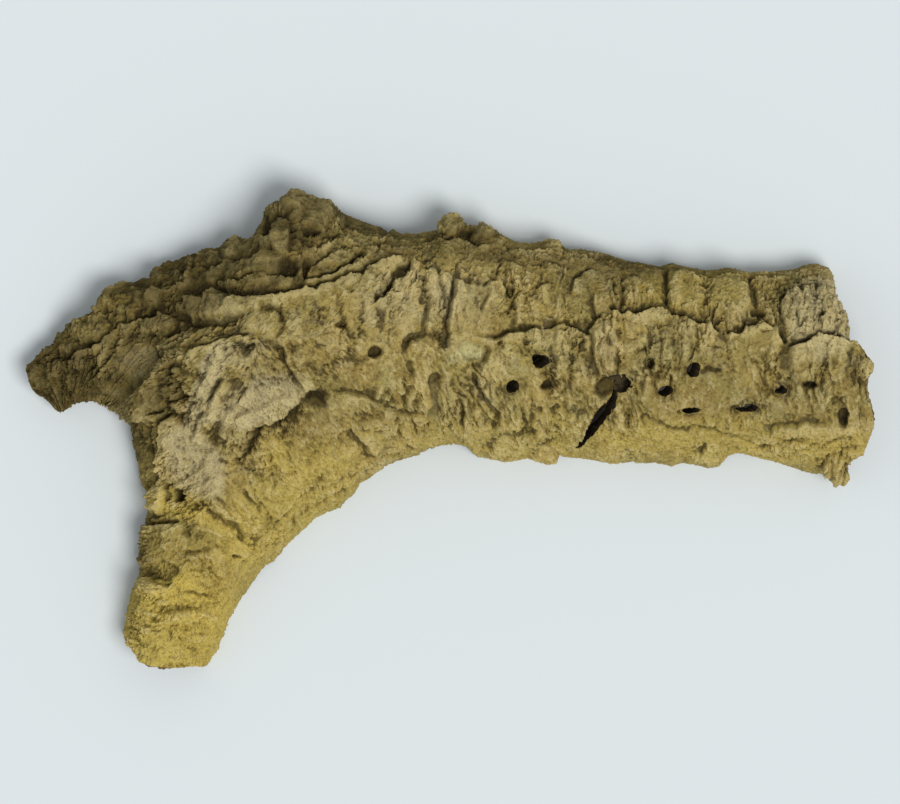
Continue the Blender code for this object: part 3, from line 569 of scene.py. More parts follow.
class Arm:
    """The trunk or a limb: a grid of rows from its mouth to the fork, and turns over its arch."""

    def __init__(self, name, first_edge, second_edge, mouth, joints, turn_ins, crowns, tip=THICKNESS):
        self.name = name
        self.first_edge = first_edge
        self.second_edge = second_edge
        self.mouth = mouth
        self.joints = joints
        self.turn_ins = turn_ins
        self.crowns = crowns
        self.tip = tip

    def turns(self, count):
        """The angle of each turn over the arch, and the turn-in of the side that it is on."""
        first, second = (math.radians(angle) for angle in self.turn_ins)
        half = count // 2
        angles = np.concatenate([
            np.linspace(-first, math.pi / 2, half + 1),
            np.linspace(math.pi / 2, math.pi + second, half + 1)[1:],
        ])
        turn_in = np.where(np.arange(count + 1) <= half, first, second)
        return angles, turn_in

    def plan(self, rows, shares):
        """The plan of the grid in pixels, stretched between the two edges, the mouth and the joints."""
        u = rows[:, None, None]
        s = shares[None, :, None]
        first = along(self.first_edge, rows)[:, None, :]
        second = along(self.second_edge, rows)[:, None, :]
        mouth = along(self.mouth, shares)[None, :, :]
        joint = joint_line(*self.joints, shares)[None, :, :]
        across = (1.0 - s) * first + s * second
        return across + (1.0 - u) * (mouth - across[:1]) + u * (joint - across[-1:])

    def crown(self, rows):
        """The height of the crown, level at the mouth, at the middle and at the fork."""
        mouth, middle, fork = self.crowns
        near = mouth + (middle - mouth) * smooth(2.0 * rows)
        return near + (fork - middle) * smooth(2.0 * rows - 1.0)

    def grid(self, row_count, turn_count):
        """The plain arch: pixels, points in metres, and how high each turn is on the wall, 0 to 1."""
        rows = np.linspace(0.0, 1.0, row_count + 1)
        angles, turn_in = self.turns(turn_count)
        pixels = self.plan(rows, (1.0 - np.cos(angles)) / 2.0)
        rise = (np.sin(angles) + np.sin(turn_in)) / (1.0 + np.sin(turn_in))
        height = self.crown(rows)[:, None] * rise[None, :]
        points = np.concatenate([to_metres(pixels), height[:, :, None]], axis=2)
        return pixels, points, np.broadcast_to(rise, height.shape)


def to_metres(pixels):
    x = (pixels[..., 0] - ORIGIN_PIXEL[0]) * METRES_PER_PIXEL
    y = (ORIGIN_PIXEL[1] - pixels[..., 1]) * METRES_PER_PIXEL
    return np.stack([x, y], axis=-1)


def distance_to_line(line, x, y):
    """Distance to a polyline, positive on the right of the walk, and the distance left to its ends."""
    line = np.array(line, float)
    best = np.full(x.shape, np.inf)
    side = np.ones(x.shape)
    walked = np.zeros(x.shape)
    total = 0.0
    for (ax, ay), (bx, by) in zip(line[:-1], line[1:]):
        dx, dy = bx - ax, by - ay
        length = math.hypot(dx, dy)
        t = np.clip(((x - ax) * dx + (y - ay) * dy) / length**2, 0.0, 1.0)
        distance = np.hypot(x - ax - t * dx, y - ay - t * dy)
        nearer = distance < best
        cross = (y - ay) * dx - (x - ax) * dy
        best = np.where(nearer, distance, best)
        side = np.where(nearer, np.where(cross >= 0.0, 1.0, -1.0), side)
        walked = np.where(nearer, total + t * length, walked)
        total += length
    return best * side, np.minimum(walked, total - walked)


def step_relief(x, y, uneven, height, reach, line):
    """A step that is sharp on its low side and sinks back over its reach on the raised side."""
    across, to_end = distance_to_line(line, x, y)
    risen = smooth((across + STEP_SOFTNESS) / (2.0 * STEP_SOFTNESS))
    raised = risen * np.exp(-np.maximum(across, 0.0) / reach)
    foot = (1.0 - risen) * np.exp(np.minimum(across, 0.0) / FOOT_REACH)
    crevice = np.exp(-(((across + 2.2 * STEP_SOFTNESS) / (1.7 * STEP_SOFTNESS)) ** 2))
    profile = raised * (0.7 + 0.5 * uneven) - FOOT_DEPTH * foot * (1.2 - 0.7 * uneven) - CREVICE * crevice * uneven
    return height * profile * smooth(to_end / 8.0)


def line_relief(x, y, height, half_width, line):
    """A narrow ridge along a line, or a groove where the height is negative."""
    across, to_end = distance_to_line(line, x, y)
    return height * np.exp(-((across / half_width) ** 2)) * (0.4 + 0.6 * smooth(to_end / 8.0))


def ellipse_radius(x, y, cx, cy, rx, ry, turn):
    """How many half sizes a point is from an ellipse's centre."""
    c, s = math.cos(math.radians(turn)), math.sin(math.radians(turn))
    dx, dy = x - cx, y - cy
    return np.hypot((dx * c + dy * s) / rx, (dy * c - dx * s) / ry)


def carved(x, y, uneven):
    """The relief that was read from above, at pixels x and y. uneven varies its steps, from 0 to 1."""
    total = np.zeros(x.shape)
    for height, reach, line in STEPS.values():
        total += step_relief(x, y, uneven, height, reach, line)
    for depth, half_width, line in GROOVES.values():
        total += line_relief(x, y, -depth, half_width, line)
    for height, half_width, line in RIDGES.values():
        total += line_relief(x, y, height, half_width, line)
    for cx, cy, rx, ry, turn, height in PLATES.values():
        total += height * smooth(3.0 - 2.5 * ellipse_radius(x, y, cx, cy, rx, ry, turn))
    for cx, cy, rx, ry, turn, height in LUMPS.values():
        radius = ellipse_radius(x, y, cx, cy, rx, ry, turn) / 1.15
        total += height * np.sqrt(np.maximum(1.0 - radius**2, 0.0))
    for cx, cy, rx, ry, turn, depth in PITS.values():
        total -= depth * smooth(2.7 - 2.1 * ellipse_radius(x, y, cx, cy, rx, ry, turn))
    for cx, cy, rx, ry, turn in BORINGS.values():
        total -= BORING_FUNNEL * smooth(2.4 - 1.2 * ellipse_radius(x, y, cx, cy, rx, ry, turn))
    return np.clip(total, -MOST_RELIEF, MOST_RELIEF)


def noise_at(places, size, kind, seed=0.0):
    """A noise value at each place, in lumps of this size in pixels, or of a size along each axis."""
    flat = (places.reshape(-1, 3) / size + seed).tolist()
    return np.array([kind(Vector(place)) for place in flat]).reshape(places.shape[:-1])


def soft(place):
    return noise.noise(place)


def lumpy(place):
    return noise.fractal(place, 0.9, 2.1, 4)


def rough(place):
    return noise.fractal(place, 0.45, 2.1, 3)


def billows(place):
    """Rounded lumps with sharp creases between them, from 0 in the creases."""
    return noise.turbulence(place, 3, True, amplitude_scale=0.45, frequency_scale=2.1)


def spots(place):
    """The distance to the middle of the nearest spot."""
    return noise.voronoi(place)[0][0]


def ragged(places):
    """The pixels of each place, shifted here and there, so that drawn lines look broken."""
    x, y = places[..., 0].copy(), places[..., 1].copy()
    for size, shift in WARPS:
        x += shift * noise_at(places, size, soft, 83.0)
        y += shift * noise_at(places, size, soft, 97.0)
    return x, y


def shingles(phase):
    """Overlapping plates, one for each whole number: each sinks slowly and ends in a sharp rise."""
    share = phase - np.floor(phase)
    return smooth((share - EDGE_START) / (1.0 - EDGE_START)) - share + 0.35


def drawn_out(places, torn, lined, stretch, line_stretch, seed):
    """Rounded folds, overlapping plates and fine lines, drawn out by the stretch along each axis."""
    places = places + FRAY * torn[..., None]
    drawn = places / np.array(stretch)
    folds = FOLD * (noise_at(drawn, FOLD_PIXELS, billows, seed) - 0.4)
    plates = LEDGE * shingles(LEDGES_DEEP * noise_at(drawn, LEDGE_PIXELS, lumpy, seed + 7.0))
    lines = LINE * lined * noise_at(places / np.array(line_stretch), LINE_PIXELS, rough, seed + 13.0)
    return folds + plates + lines


def bark_texture(places, flow, upward, to_joint, kinds):
    """The bark's own texture, apart from its broad bulges, and a tone for each of its layers.

    flow runs along the arm and round its arch. What follows it fades at the joint.
    """
    near = smooth(to_joint / 22.0)
    torn = noise_at(places, 7.0, rough, 13.0)
    patchy = 0.4 + 1.0 * smooth(0.5 + 1.2 * noise_at(places, 30.0, soft, 19.0))
    held = 0.5 + 0.8 * smooth(0.5 + 1.5 * noise_at(places, 38.0, soft, 41.0))
    lengthwise = np.clip(kinds["terraces"], 0.0, 1.0)
    near *= 1.0 - np.clip(kinds["rugged"], 0.0, 1.0)
    lined = 0.3 + 0.9 * np.clip(kinds["bands"], 0.0, 1.0)
    bands = drawn_out(flow, torn, lined, (1.0, DRAWN, 1.0), (1.0, LINES_DRAWN, 1.0), 43.0)
    terraces = 0.75 * drawn_out(flow, torn, lined, (DRAWN, 1.0, 1.0), (LINES_DRAWN, 1.0, 1.0), 47.0)
    plain = drawn_out(places, torn, lined, (1.2, 1.0, 1.0), (1.0, 1.0, 1.0), 53.0)
    fine = (near * (bands * (1.0 - lengthwise) + terraces * lengthwise) + (1.0 - near) * plain) * held
    fine += BOULDER * (noise_at(places, BOULDER_PIXELS, billows, 37.0) - 0.4) * kinds["boulders"]
    fine += CRUMB * noise_at(places, CRUMB_PIXELS, rough, 17.0) * patchy
    pits = smooth((0.24 - noise_at(places, PIT_PIXELS, spots, 73.0)) / 0.10)
    fine -= PIT * pits * smooth(3.0 * noise_at(places, 40.0, soft, 67.0))
    shelf_phase = places[..., 2] / SHELF_PIXELS + 0.5 * torn
    fine += SHELF * shingles(shelf_phase) * (1.0 - smooth(1.6 * upward))
    fine *= (1.0 + 0.25 * kinds["rugged"]) * (1.0 - 0.8 * np.clip(kinds["calm"], 0.0, 1.0))
    fine *= 0.45 + 0.55 * smooth(2.2 * upward)
    layer = np.floor(6.0 * noise_at(places, 40.0, lumpy, 61.0))
    tone = np.mod(np.sin(layer * 12.9) * 43.7, 1.0)
    return fine + GRAIN * noise_at(places, GRAIN_PIXELS, rough, 23.0), tone


def rim_lift(x, y):
    """How far the rim stands clear of the ground."""
    lift = np.zeros(np.shape(x))
    for cx, cy, radius, height in RIM_GAPS.values():
        lift += height * np.exp(-(((x - cx) ** 2 + (y - cy) ** 2) / radius**2))
    return np.maximum(lift - RIM_GAP_FLOOR, 0.0)


def box_blur(field, reach, axis):
    """The mean of a field over this many cells to each side, along one axis."""
    field = np.moveaxis(field, axis, 0)
    padded = np.concatenate([np.repeat(field[:1], reach + 1, axis=0), field, np.repeat(field[-1:], reach, axis=0)])
    total = np.cumsum(padded, axis=0)
    mean = (total[2 * reach + 1 :] - total[: -2 * reach - 1]) / (2 * reach + 1)
    return np.moveaxis(mean, 0, axis)


def blurred(field, reach):
    return box_blur(box_blur(field, reach, 0), reach, 1)


def unit(vectors):
    return vectors / np.maximum(np.linalg.norm(vectors, axis=-1, keepdims=True), 1e-12)


def grid_normals(grids):
    """The outward normals of the three plain arches, averaged where their grids meet at the fork."""
    normals = {}
    for name, (_, points, _) in grids.items():
        normal = unit(np.cross(np.gradient(points, axis=0), np.gradient(points, axis=1)))
        normal = normal if name == "trunk" else -normal
        normals[name] = unit(box_blur(normal, 7, 0))
    half = TURNS // 2
    trunk, back, front = (normals[name][-1] for name in ("trunk", "back_limb", "front_limb"))
    back_joint = unit(trunk[:half] + back[:half])
    front_joint = unit(trunk[half + 1 :] + front[half + 1 :])
    crotch = unit(back[half + 1 :] + front[:half][::-1])
    top = unit(trunk[half] + back[half] + front[half])
    for row, first, second in ((trunk, back_joint, front_joint), (back, back_joint, crotch), (front, crotch[::-1], front_joint)):
        row[:half] = first
        row[half] = top
        row[half + 1 :] = second
    return normals


def set_rim(moved, points, pixels):
    """Keeps the wall above the ground, and its two rims on it or lifted clear of it."""
    moved[..., 2] = np.maximum(moved[..., 2], 0.35 * points[..., 2])
    moved[:, [0, -1], 2] = 0.0
    moved[..., 2] += rim_lift(pixels[..., 0], pixels[..., 1]) * np.exp(-points[..., 2] / RIM_LIFT_REACH)
    return moved


def relaxed(points):
    """Evens out the inside, all but the row at the fork, which the pieces share."""
    for _ in range(INSIDE_PASSES):
        moved = points.copy()
        moved[:-1, 1:-1] = 0.5 * points[:-1, 1:-1] + 0.25 * (points[:-1, :-2] + points[:-1, 2:])
        points = moved.copy()
        moved[1:-1] = 0.5 * points[1:-1] + 0.25 * (points[:-2] + points[2:])
        points = moved
    return points


def inside(arm, pixels, points, rise, normals):
    """The smooth inside of the bark."""
    rows = np.linspace(0.0, 1.0, points.shape[0])[:, None]
    full = arm.tip + (THICKNESS - arm.tip) * smooth(1.6 * rows)
    thin = np.minimum(full, THICKNESS_AT_RIM)
    depth = thin + (full - thin) * smooth(rise * 1.8)
    return set_rim(relaxed(points - normals * depth[..., None]), points, pixels)


def patches(x, y, kind):
    """How strongly each point takes the patches of one kind."""
    field = np.zeros(x.shape)
    for cx, cy, rx, ry, turn, strength in PATCHES[kind].values():
        field += strength * smooth(1.8 - 1.2 * ellipse_radius(x, y, cx, cy, rx, ry, turn))
    return field


def outside(pixels, points, normals, is_straight):
    """The bark's outside, and the fields that colour it."""
    upward = normals[..., 2]
    places = np.concatenate([pixels, points[..., 2:] / METRES_PER_PIXEL], axis=2)
    steps = np.linalg.norm(np.diff(pixels.mean(axis=1), axis=0), axis=1)
    walked = np.concatenate([[0.0], np.cumsum(steps)])[:, None] + np.zeros(upward.shape)
    lengthwise = pixels[..., 0] if is_straight else walked
    round_steps = np.linalg.norm(np.diff(places, axis=1), axis=2)
    around = np.concatenate([np.zeros((len(places), 1)), np.cumsum(round_steps, axis=1)], axis=1)
    flow = np.stack([lengthwise, around, np.zeros(upward.shape)], axis=-1)
    x, y = ragged(places)
    kinds = {kind: patches(x, y, kind) for kind in PATCHES}
    uneven = smooth(0.5 + 1.3 * noise_at(places, 14.0, soft, 31.0))
    texture, tone = bark_texture(places, flow, upward, walked[-1:] - walked, kinds)
    fine = carved(x, y, uneven) * smooth(0.2 + 1.8 * upward) + texture
    bulge = BULGE * noise_at(places, BULGE_PIXELS, soft, 3.0) * (0.4 + 0.6 * smooth(2.0 * upward))
    moved = set_rim(points + normals * (bulge + fine)[..., None], points, pixels)
    # How far each point lies in a hollow, from -1 on ridges to 1 in hollows. The material paints shade into the
    # hollows with it, and a paler colour, partly painted highlight, onto the ridges.
    narrow = np.clip((blurred(fine, 3) - fine) / 0.0010, -1.0, 1.0)
    wide = np.clip((blurred(fine, 14) - blurred(fine, 2)) / 0.0024, -1.0, 1.0)
    fields = {kind: kinds[kind] for kind in ("ochre", "shade", "green")}
    fields["pale"] = 0.95 * smooth(1.5 * kinds["pale"] - 0.25)
    fields["hollow"] = np.clip(0.45 * narrow + 0.85 * wide, -1.0, 1.0) * (1.0 - 0.6 * np.minimum(kinds["calm"], 1.0))
    fields["tone"] = tone
    return moved, fields


def grid_faces(row_count, turn_count, start):
    """The faces of a grid of vertices that are numbered row by row from start."""
    i, j = np.meshgrid(np.arange(row_count - 1), np.arange(turn_count - 1), indexing="ij")
    corner = (start + i * turn_count + j).ravel()
    return np.stack([corner, corner + turn_count, corner + turn_count + 1, corner + 1], axis=1).tolist()


def zip_faces(fine, coarse):
    """The faces between a row of vertices and a coarser one."""
    ratio = (len(fine) - 1) // (len(coarse) - 1)
    middle = ratio // 2
    faces = []
    for k in range(len(coarse) - 1):
        strip = fine[ratio * k : ratio * (k + 1) + 1]
        faces += [(coarse[k], strip[q], strip[q + 1]) for q in range(middle)]
        faces.append((coarse[k], strip[middle], coarse[k + 1]))
        faces += [(coarse[k + 1], strip[q], strip[q + 1]) for q in range(middle, ratio)]
    return faces


def mouth_layers(outer_edge, inner_edge, away):
    """The torn end of the bark, in layers between its outside and its inside."""
    coarse = np.linspace(0.0, 1.0, len(inner_edge))
    fine = np.linspace(0.0, 1.0, len(outer_edge))
    inner_edge = np.stack([np.interp(fine, coarse, inner_edge[:, k]) for k in range(3)], axis=1)
    layers = []
    for k in range(1, MOUTH_LAYERS):
        share = k / MOUTH_LAYERS
        row = outer_edge + share * (inner_edge - outer_edge)
        torn = TORN * noise_at(row / METRES_PER_PIXEL, TORN_PIXELS, lumpy, 7.0 * k)
        row = row + away * (torn * math.sin(math.pi * share))[:, None]
        row[:, 2] = np.maximum(row[:, 2], 0.0)
        layers.append(row)
    return layers


def strip_faces(row, after):
    return np.stack([row[:-1], after[:-1], after[1:], row[1:]], axis=1).tolist()


def make_piece(name, outer, inner, fields, with_mouth, materials):
    """One closed piece of bark from its outer and inner grids, and the fields that colour it."""
    rows, turns = outer.shape[:2]
    inner_rows, inner_turns = inner.shape[:2]
    start = rows * turns
    end = start + inner_rows * inner_turns
    outer_at = np.arange(start).reshape(rows, turns)
    inner_at = np.arange(start, end).reshape(inner_rows, inner_turns)
    points = [outer.reshape(-1, 3), inner.reshape(-1, 3)]
    bark = grid_faces(rows, turns, 0)
    lining = grid_faces(inner_rows, inner_turns, start)
    torn = zip_faces(outer_at[-1], inner_at[-1])
    torn += zip_faces(outer_at[:, 0], inner_at[:, 0])
    torn += zip_faces(outer_at[:, -1], inner_at[:, -1])
    edge = outer_at[0]
    if with_mouth:
        away = unit(outer[0] - outer[6]).mean(axis=0)
        layers = mouth_layers(outer[0], inner[0], away)
        layer_at = np.arange(end, end + len(layers) * turns).reshape(len(layers), turns)
        points += layers
        for row in layer_at:
            torn += strip_faces(edge, row)
            edge = row
        for side in (0, -1):
            torn.append([outer_at[0, side], *layer_at[:, side], inner_at[0, side]])
    torn += zip_faces(edge, inner_at[0])
    points = np.concatenate(points)
    faces = bark + lining + torn
    mesh = bpy.data.meshes.new(name)
    mesh.from_pydata(points.tolist(), [], [[int(corner) for corner in face] for face in faces])
    for material in materials:
        mesh.materials.append(material)
    slots = np.repeat([BARK, LINING, TORN_BARK], [len(bark), len(lining), len(torn)])
    mesh.polygons.foreach_set("material_index", slots.astype(np.int32))
    for key, field in fields.items():
        values = np.zeros(len(points), np.float32)
        values[:start] = field.ravel()
        mesh.attributes.new(key, "FLOAT", "POINT").data.foreach_set("value", values)
    return finish_mesh(name, mesh)


def finish_mesh(name, mesh):
    bm = bmesh.new()
    bm.from_mesh(mesh)
    bmesh.ops.recalc_face_normals(bm, faces=bm.faces)
    bm.to_mesh(mesh)
    bm.free()
    mesh.shade_smooth()
    mesh.set_sharp_from_angle(angle=math.radians(SHARP_ANGLE))
    obj = bpy.data.objects.new(name, mesh)
    bpy.context.scene.collection.objects.link(obj)
    return obj


def add_prism(bm, outline, height, lean):
    """A leaning prism through the bark, with this outline in pixels at this height in metres."""
    plan = to_metres(np.array(outline, float))
    ends = []
    for z in (0.02, 0.12):
        shift = np.array(lean) * (height - z)
        ends.append([bm.verts.new((x + shift[0], y + shift[1], z)) for x, y in plan])
    low, high = ends
    bm.faces.new(low)
    bm.faces.new(high[::-1])
    for k in range(len(plan)):
        after = (k + 1) % len(plan)
        bm.faces.new((low[k], high[k], high[after], low[after]))


def boring_outline(cx, cy, rx, ry, turn):
    c, s = math.cos(math.radians(turn)), math.sin(math.radians(turn))
    outline = []
    for k in range(BORING_SIDES):
        angle = 2.0 * math.pi * k / BORING_SIDES
        place = Vector((cx + math.cos(angle), cy + math.sin(angle), 0.5))
        wobble = 1.0 + 0.22 * noise.noise(place) + 0.10 * noise.noise(4.0 * place)
        a, b = rx * wobble * math.cos(angle), ry * wobble * math.sin(angle)
        outline.append((cx + a * c - b * s, cy + a * s + b * c))
    return outline


def cut(piece, outlines, lean, pixels, points):
    """Cuts holes with these outlines in pixels out of a piece of the trunk."""
    bm = bmesh.new()
    for outline in outlines:
        away = np.linalg.norm(pixels - np.mean(outline, axis=0), axis=2)
        add_prism(bm, outline, points[np.unravel_index(away.argmin(), away.shape)][2], lean)
    bmesh.ops.recalc_face_normals(bm, faces=bm.faces)
    for face in bm.faces:
        face.material_index = BORED
    mesh = bpy.data.meshes.new("borings")
    for material in piece.data.materials:
        mesh.materials.append(material)
    bm.to_mesh(mesh)
    bm.free()
    cutter = bpy.data.objects.new("borings", mesh)
    bpy.context.scene.collection.objects.link(cutter)
    modifier = piece.modifiers.new("borings", "BOOLEAN")
    modifier.operation = "DIFFERENCE"
    modifier.object = cutter
    depsgraph = bpy.context.evaluated_depsgraph_get()
    result = bpy.data.meshes.new_from_object(piece.evaluated_get(depsgraph))
    piece.modifiers.clear()
    piece.data = result
    result.set_sharp_from_angle(angle=math.radians(SHARP_ANGLE))
    bpy.data.objects.remove(cutter)


def make_arms():
    fork = CROWN_AT_FORK
    return [
        Arm(
            "trunk", TRUNK_BACK_EDGE, TRUNK_FRONT_EDGE, TRUNK_MOUTH, (BACK_JOINT, FRONT_JOINT),
            (TURN_IN_BACK, TURN_IN_FRONT), (CROWN_OF_TRUNK_MOUTH, CROWN_OF_TRUNK, fork),
        ),
        Arm(
            "back_limb", BACK_LIMB_BACK_EDGE, BACK_LIMB_CROTCH_EDGE, BACK_LIMB_MOUTH, (BACK_JOINT, CROTCH_JOINT),
            (TURN_IN_BACK, TURN_IN_CROTCH), (CROWN_OF_BACK_LIMB_MOUTH, CROWN_OF_BACK_LIMB, fork),
            tip=THICKNESS_AT_TIP,
        ),
        Arm(
            "front_limb", FRONT_LIMB_CROTCH_EDGE, FRONT_LIMB_FRONT_EDGE, FRONT_LIMB_MOUTH,
            (CROTCH_JOINT, FRONT_JOINT), (TURN_IN_CROTCH, TURN_IN_FRONT),
            (CROWN_OF_FRONT_LIMB_MOUTH, CROWN_OF_FRONT_LIMB, fork),
        ),
    ]


def make_bark(materials):
    """The pieces of bark, each with the node that it stands for. The long trunk is in three pieces."""
    arms = make_arms()
    grids = {arm.name: arm.grid(ROWS[arm.name], TURNS) for arm in arms}
    normals = grid_normals(grids)
    coarse = (slice(None, None, INSIDE_RATIO), slice(None, None, INSIDE_RATIO))
    pieces = []
    for arm in arms:
        pixels, points, rise = grids[arm.name]
        normal = normals[arm.name]
        outer, fields = outside(pixels, points, normal, arm.name == "trunk")
        inner = inside(arm, pixels[coarse], points[coarse], rise[coarse], normal[coarse])
        cuts = TRUNK_PIECES if arm.name == "trunk" else {arm.name + "_bark": (0, ROWS[arm.name])}
        for name, (first, last) in cuts.items():
            rows = slice(first, last + 1)
            inner_rows = slice(first // INSIDE_RATIO, last // INSIDE_RATIO + 1)
            piece_fields = {key: field[rows] for key, field in fields.items()}
            piece = make_piece(name, outer[rows], inner[inner_rows], piece_fields, first == 0, materials)
            if name in BORED_PIECES:
                borings = [boring_outline(*values) for values in BORINGS.values()]
                cut(piece, borings, BORING_LEAN, pixels, points)
                cut(piece, [WIDE_HOLE], WIDE_HOLE_LEAN, pixels, points)
                cut(piece, [SPLIT], SPLIT_LEAN, pixels, points)
            pieces.append((piece, arm.name))
    return pieces


def srgb(red, green, blue):
    """A colour from its values on screen, 0 to 255."""
    return tuple(((value / 255 + 0.055) / 1.055) ** 2.4 for value in (red, green, blue)) + (1.0,)


def new_material(name, roughness):
    material = bpy.data.materials.new(name)
    material.use_nodes = True
    tree = material.node_tree
    shader = tree.nodes["Principled BSDF"]
    shader.inputs["Roughness"].default_value = roughness
    shader.inputs["Specular IOR Level"].default_value = 0.2
    place = tree.nodes.new("ShaderNodeTexCoord").outputs["Object"]
    return material, tree, shader, place


def noise_node(tree, place, size, detail=4.0, stretch=(1.0, 1.0, 1.0)):
    """Noise in lumps of this size in metres, stretched along the axes."""
    mapping = tree.nodes.new("ShaderNodeMapping")
    mapping.inputs["Scale"].default_value = stretch
    texture = tree.nodes.new("ShaderNodeTexNoise")
    texture.inputs["Scale"].default_value = 1.0 / size
    texture.inputs["Detail"].default_value = detail
    tree.links.new(place, mapping.inputs["Vector"])
    tree.links.new(mapping.outputs["Vector"], texture.inputs["Vector"])
    return texture.outputs["Fac"]


def ramp(tree, value, low, high, from_low=0.0, from_high=1.0):
    """value mapped smoothly so that low gives from_low and high gives from_high."""
    node = tree.nodes.new("ShaderNodeMapRange")
    node.interpolation_type = "SMOOTHSTEP"
    node.inputs["From Min"].default_value = low
    node.inputs["From Max"].default_value = high
    node.inputs["To Min"].default_value = from_low
    node.inputs["To Max"].default_value = from_high
    tree.links.new(value, node.inputs["Value"])
    return node.outputs["Result"]


def mix(tree, share, first, second, blend="MIX"):
    """Two colours mixed by a share. Each may be a colour or a socket."""
    node = tree.nodes.new("ShaderNodeMix")
    node.data_type = "RGBA"
    node.blend_type = blend
    for socket, value in ((node.inputs["Factor"], share), (node.inputs["A"], first), (node.inputs["B"], second)):
        if isinstance(value, bpy.types.NodeSocket):
            tree.links.new(value, socket)
        else:
            socket.default_value = value
    return node.outputs[2]


def attribute(tree, name):
    node = tree.nodes.new("ShaderNodeAttribute")
    node.attribute_name = name
    return node.outputs["Fac"]


def product(tree, first, second):
    node = tree.nodes.new("ShaderNodeMath")
    node.operation = "MULTIPLY"
    for socket, value in zip(node.inputs, (first, second)):
        if isinstance(value, bpy.types.NodeSocket):
            tree.links.new(value, socket)
        else:
            socket.default_value = value
    return node.outputs[0]


def add_bump(tree, shader, height, distance, strength=1.0):
    bump = tree.nodes.new("ShaderNodeBump")
    bump.inputs["Distance"].default_value = distance
    bump.inputs["Strength"].default_value = strength
    tree.links.new(height, bump.inputs["Height"])
    tree.links.new(bump.outputs["Normal"], shader.inputs["Normal"])


def bark_material():
    """Dry cork bark: olive brown, with ochre, darker and dusty patches. The darker patches are partly painted shade,
    painted shade darkens the hollows, and the ridges are paler, partly wear and partly painted highlight.
    """
    material, tree, shader, place = new_material("cork_bark", 0.93)
    broad = noise_node(tree, place, 0.030)
    mottle = noise_node(tree, place, 0.0070)
    fleck = noise_node(tree, place, 0.0026, 3.0)
    speckle = noise_node(tree, place, 0.0013, 2.0)
    colour = mix(tree, ramp(tree, broad, 0.35, 0.65), OLIVE_BARK, TAN_BARK)
    tone = attribute(tree, "tone")
    colour = mix(tree, ramp(tree, tone, 0.55, 0.95, 0.0, 0.35), colour, DUSTY_BARK)
    colour = mix(tree, ramp(tree, tone, 0.40, 0.05, 0.0, 0.35), colour, BROWN_BARK)
    ochre = product(tree, attribute(tree, "ochre"), ramp(tree, mottle, 0.25, 0.60, 0.55, 1.0))
    colour = mix(tree, ochre, colour, OCHRE_BARK)
    # Painted shade, partly darker bark: the shade patches darken the colour
    shade = product(tree, attribute(tree, "shade"), ramp(tree, mottle, 0.30, 0.65, 1.0, 0.6))
    colour = mix(tree, shade, colour, DARK_AND_SHADED_BARK)
    pale = product(tree, attribute(tree, "pale"), ramp(tree, mottle, 0.30, 0.60, 0.6, 1.0))
    colour = mix(tree, pale, colour, DUSTY_BARK)
    colour = mix(tree, attribute(tree, "green"), colour, GREEN_BARK)
    flecks = product(tree, ramp(tree, fleck, 0.56, 0.68, 0.0, 0.45), ramp(tree, shade, 0.0, 0.7, 1.0, 0.2))
    colour = mix(tree, flecks, colour, OCHRE_BARK)
    colour = mix(tree, ramp(tree, mottle, 0.46, 0.70, 0.0, 0.40), colour, BROWN_BARK)
    hollow = attribute(tree, "hollow")
    # Painted shade: the hollows darkened
    colour = mix(tree, ramp(tree, hollow, 0.05, 0.85, 0.0, 0.70), colour, DEEP_BARK)
    # Painted highlight, partly wear: the ridges made paler, less so where shade is painted
    wear_and_highlight = product(tree, ramp(tree, hollow, -0.05, -0.8, 0.0, 0.40), ramp(tree, shade, 0.2, 0.9, 1.0, 0.25))
    colour = mix(tree, wear_and_highlight, colour, WEAR_AND_HIGHLIGHT_BARK)
    colour = mix(tree, ramp(tree, speckle, 0.52, 0.70, 0.0, 0.45), colour, DEEP_BARK)
    tree.links.new(colour, shader.inputs["Base Color"])
    add_bump(tree, shader, noise_node(tree, place, 0.0014, 5.0), 0.0009)
    return material


def lining_material():
    """The inner face of the bark, smooth and pale brown, with fine lines along it."""
    material, tree, shader, place = new_material("bark_lining", 0.85)
    lines = noise_node(tree, place, 0.0022, 4.0, (0.12, 1.0, 1.0))
    blotches = noise_node(tree, place, 0.030)
    colour = mix(tree, ramp(tree, blotches, 0.35, 0.65), LINING_TAN, LINING_BROWN)
    colour = mix(tree, ramp(tree, lines, 0.40, 0.62, 0.0, 0.55), colour, LINING_DARK)
    tree.links.new(colour, shader.inputs["Base Color"])
    add_bump(tree, shader, lines, 0.0008)
    return material


def torn_material():
    """The torn ends and rims, where the layers of the cork show."""
    material, tree, shader, place = new_material("torn_bark", 0.95)
    crumb = noise_node(tree, place, 0.0035, 6.0)
    blotches = noise_node(tree, place, 0.014)
    colour = mix(tree, ramp(tree, blotches, 0.35, 0.65), TORN_TAN, TORN_BROWN)
    colour = mix(tree, ramp(tree, crumb, 0.42, 0.66, 0.0, 0.75), colour, DEEP_BARK)
    tree.links.new(colour, shader.inputs["Base Color"])
    add_bump(tree, shader, crumb, 0.0016)
    return material


def bored_material():
    """The walls of the insect borings and of the split, coloured dark brown as painted shade inside the holes."""
    material, tree, shader, place = new_material("bored_bark", 0.9)
    blotches = noise_node(tree, place, 0.004, 5.0)
    colour = mix(tree, ramp(tree, blotches, 0.35, 0.65), BORED_BROWN, BORED_DARK)
    tree.links.new(colour, shader.inputs["Base Color"])
    add_bump(tree, shader, blotches, 0.0010)
    return material


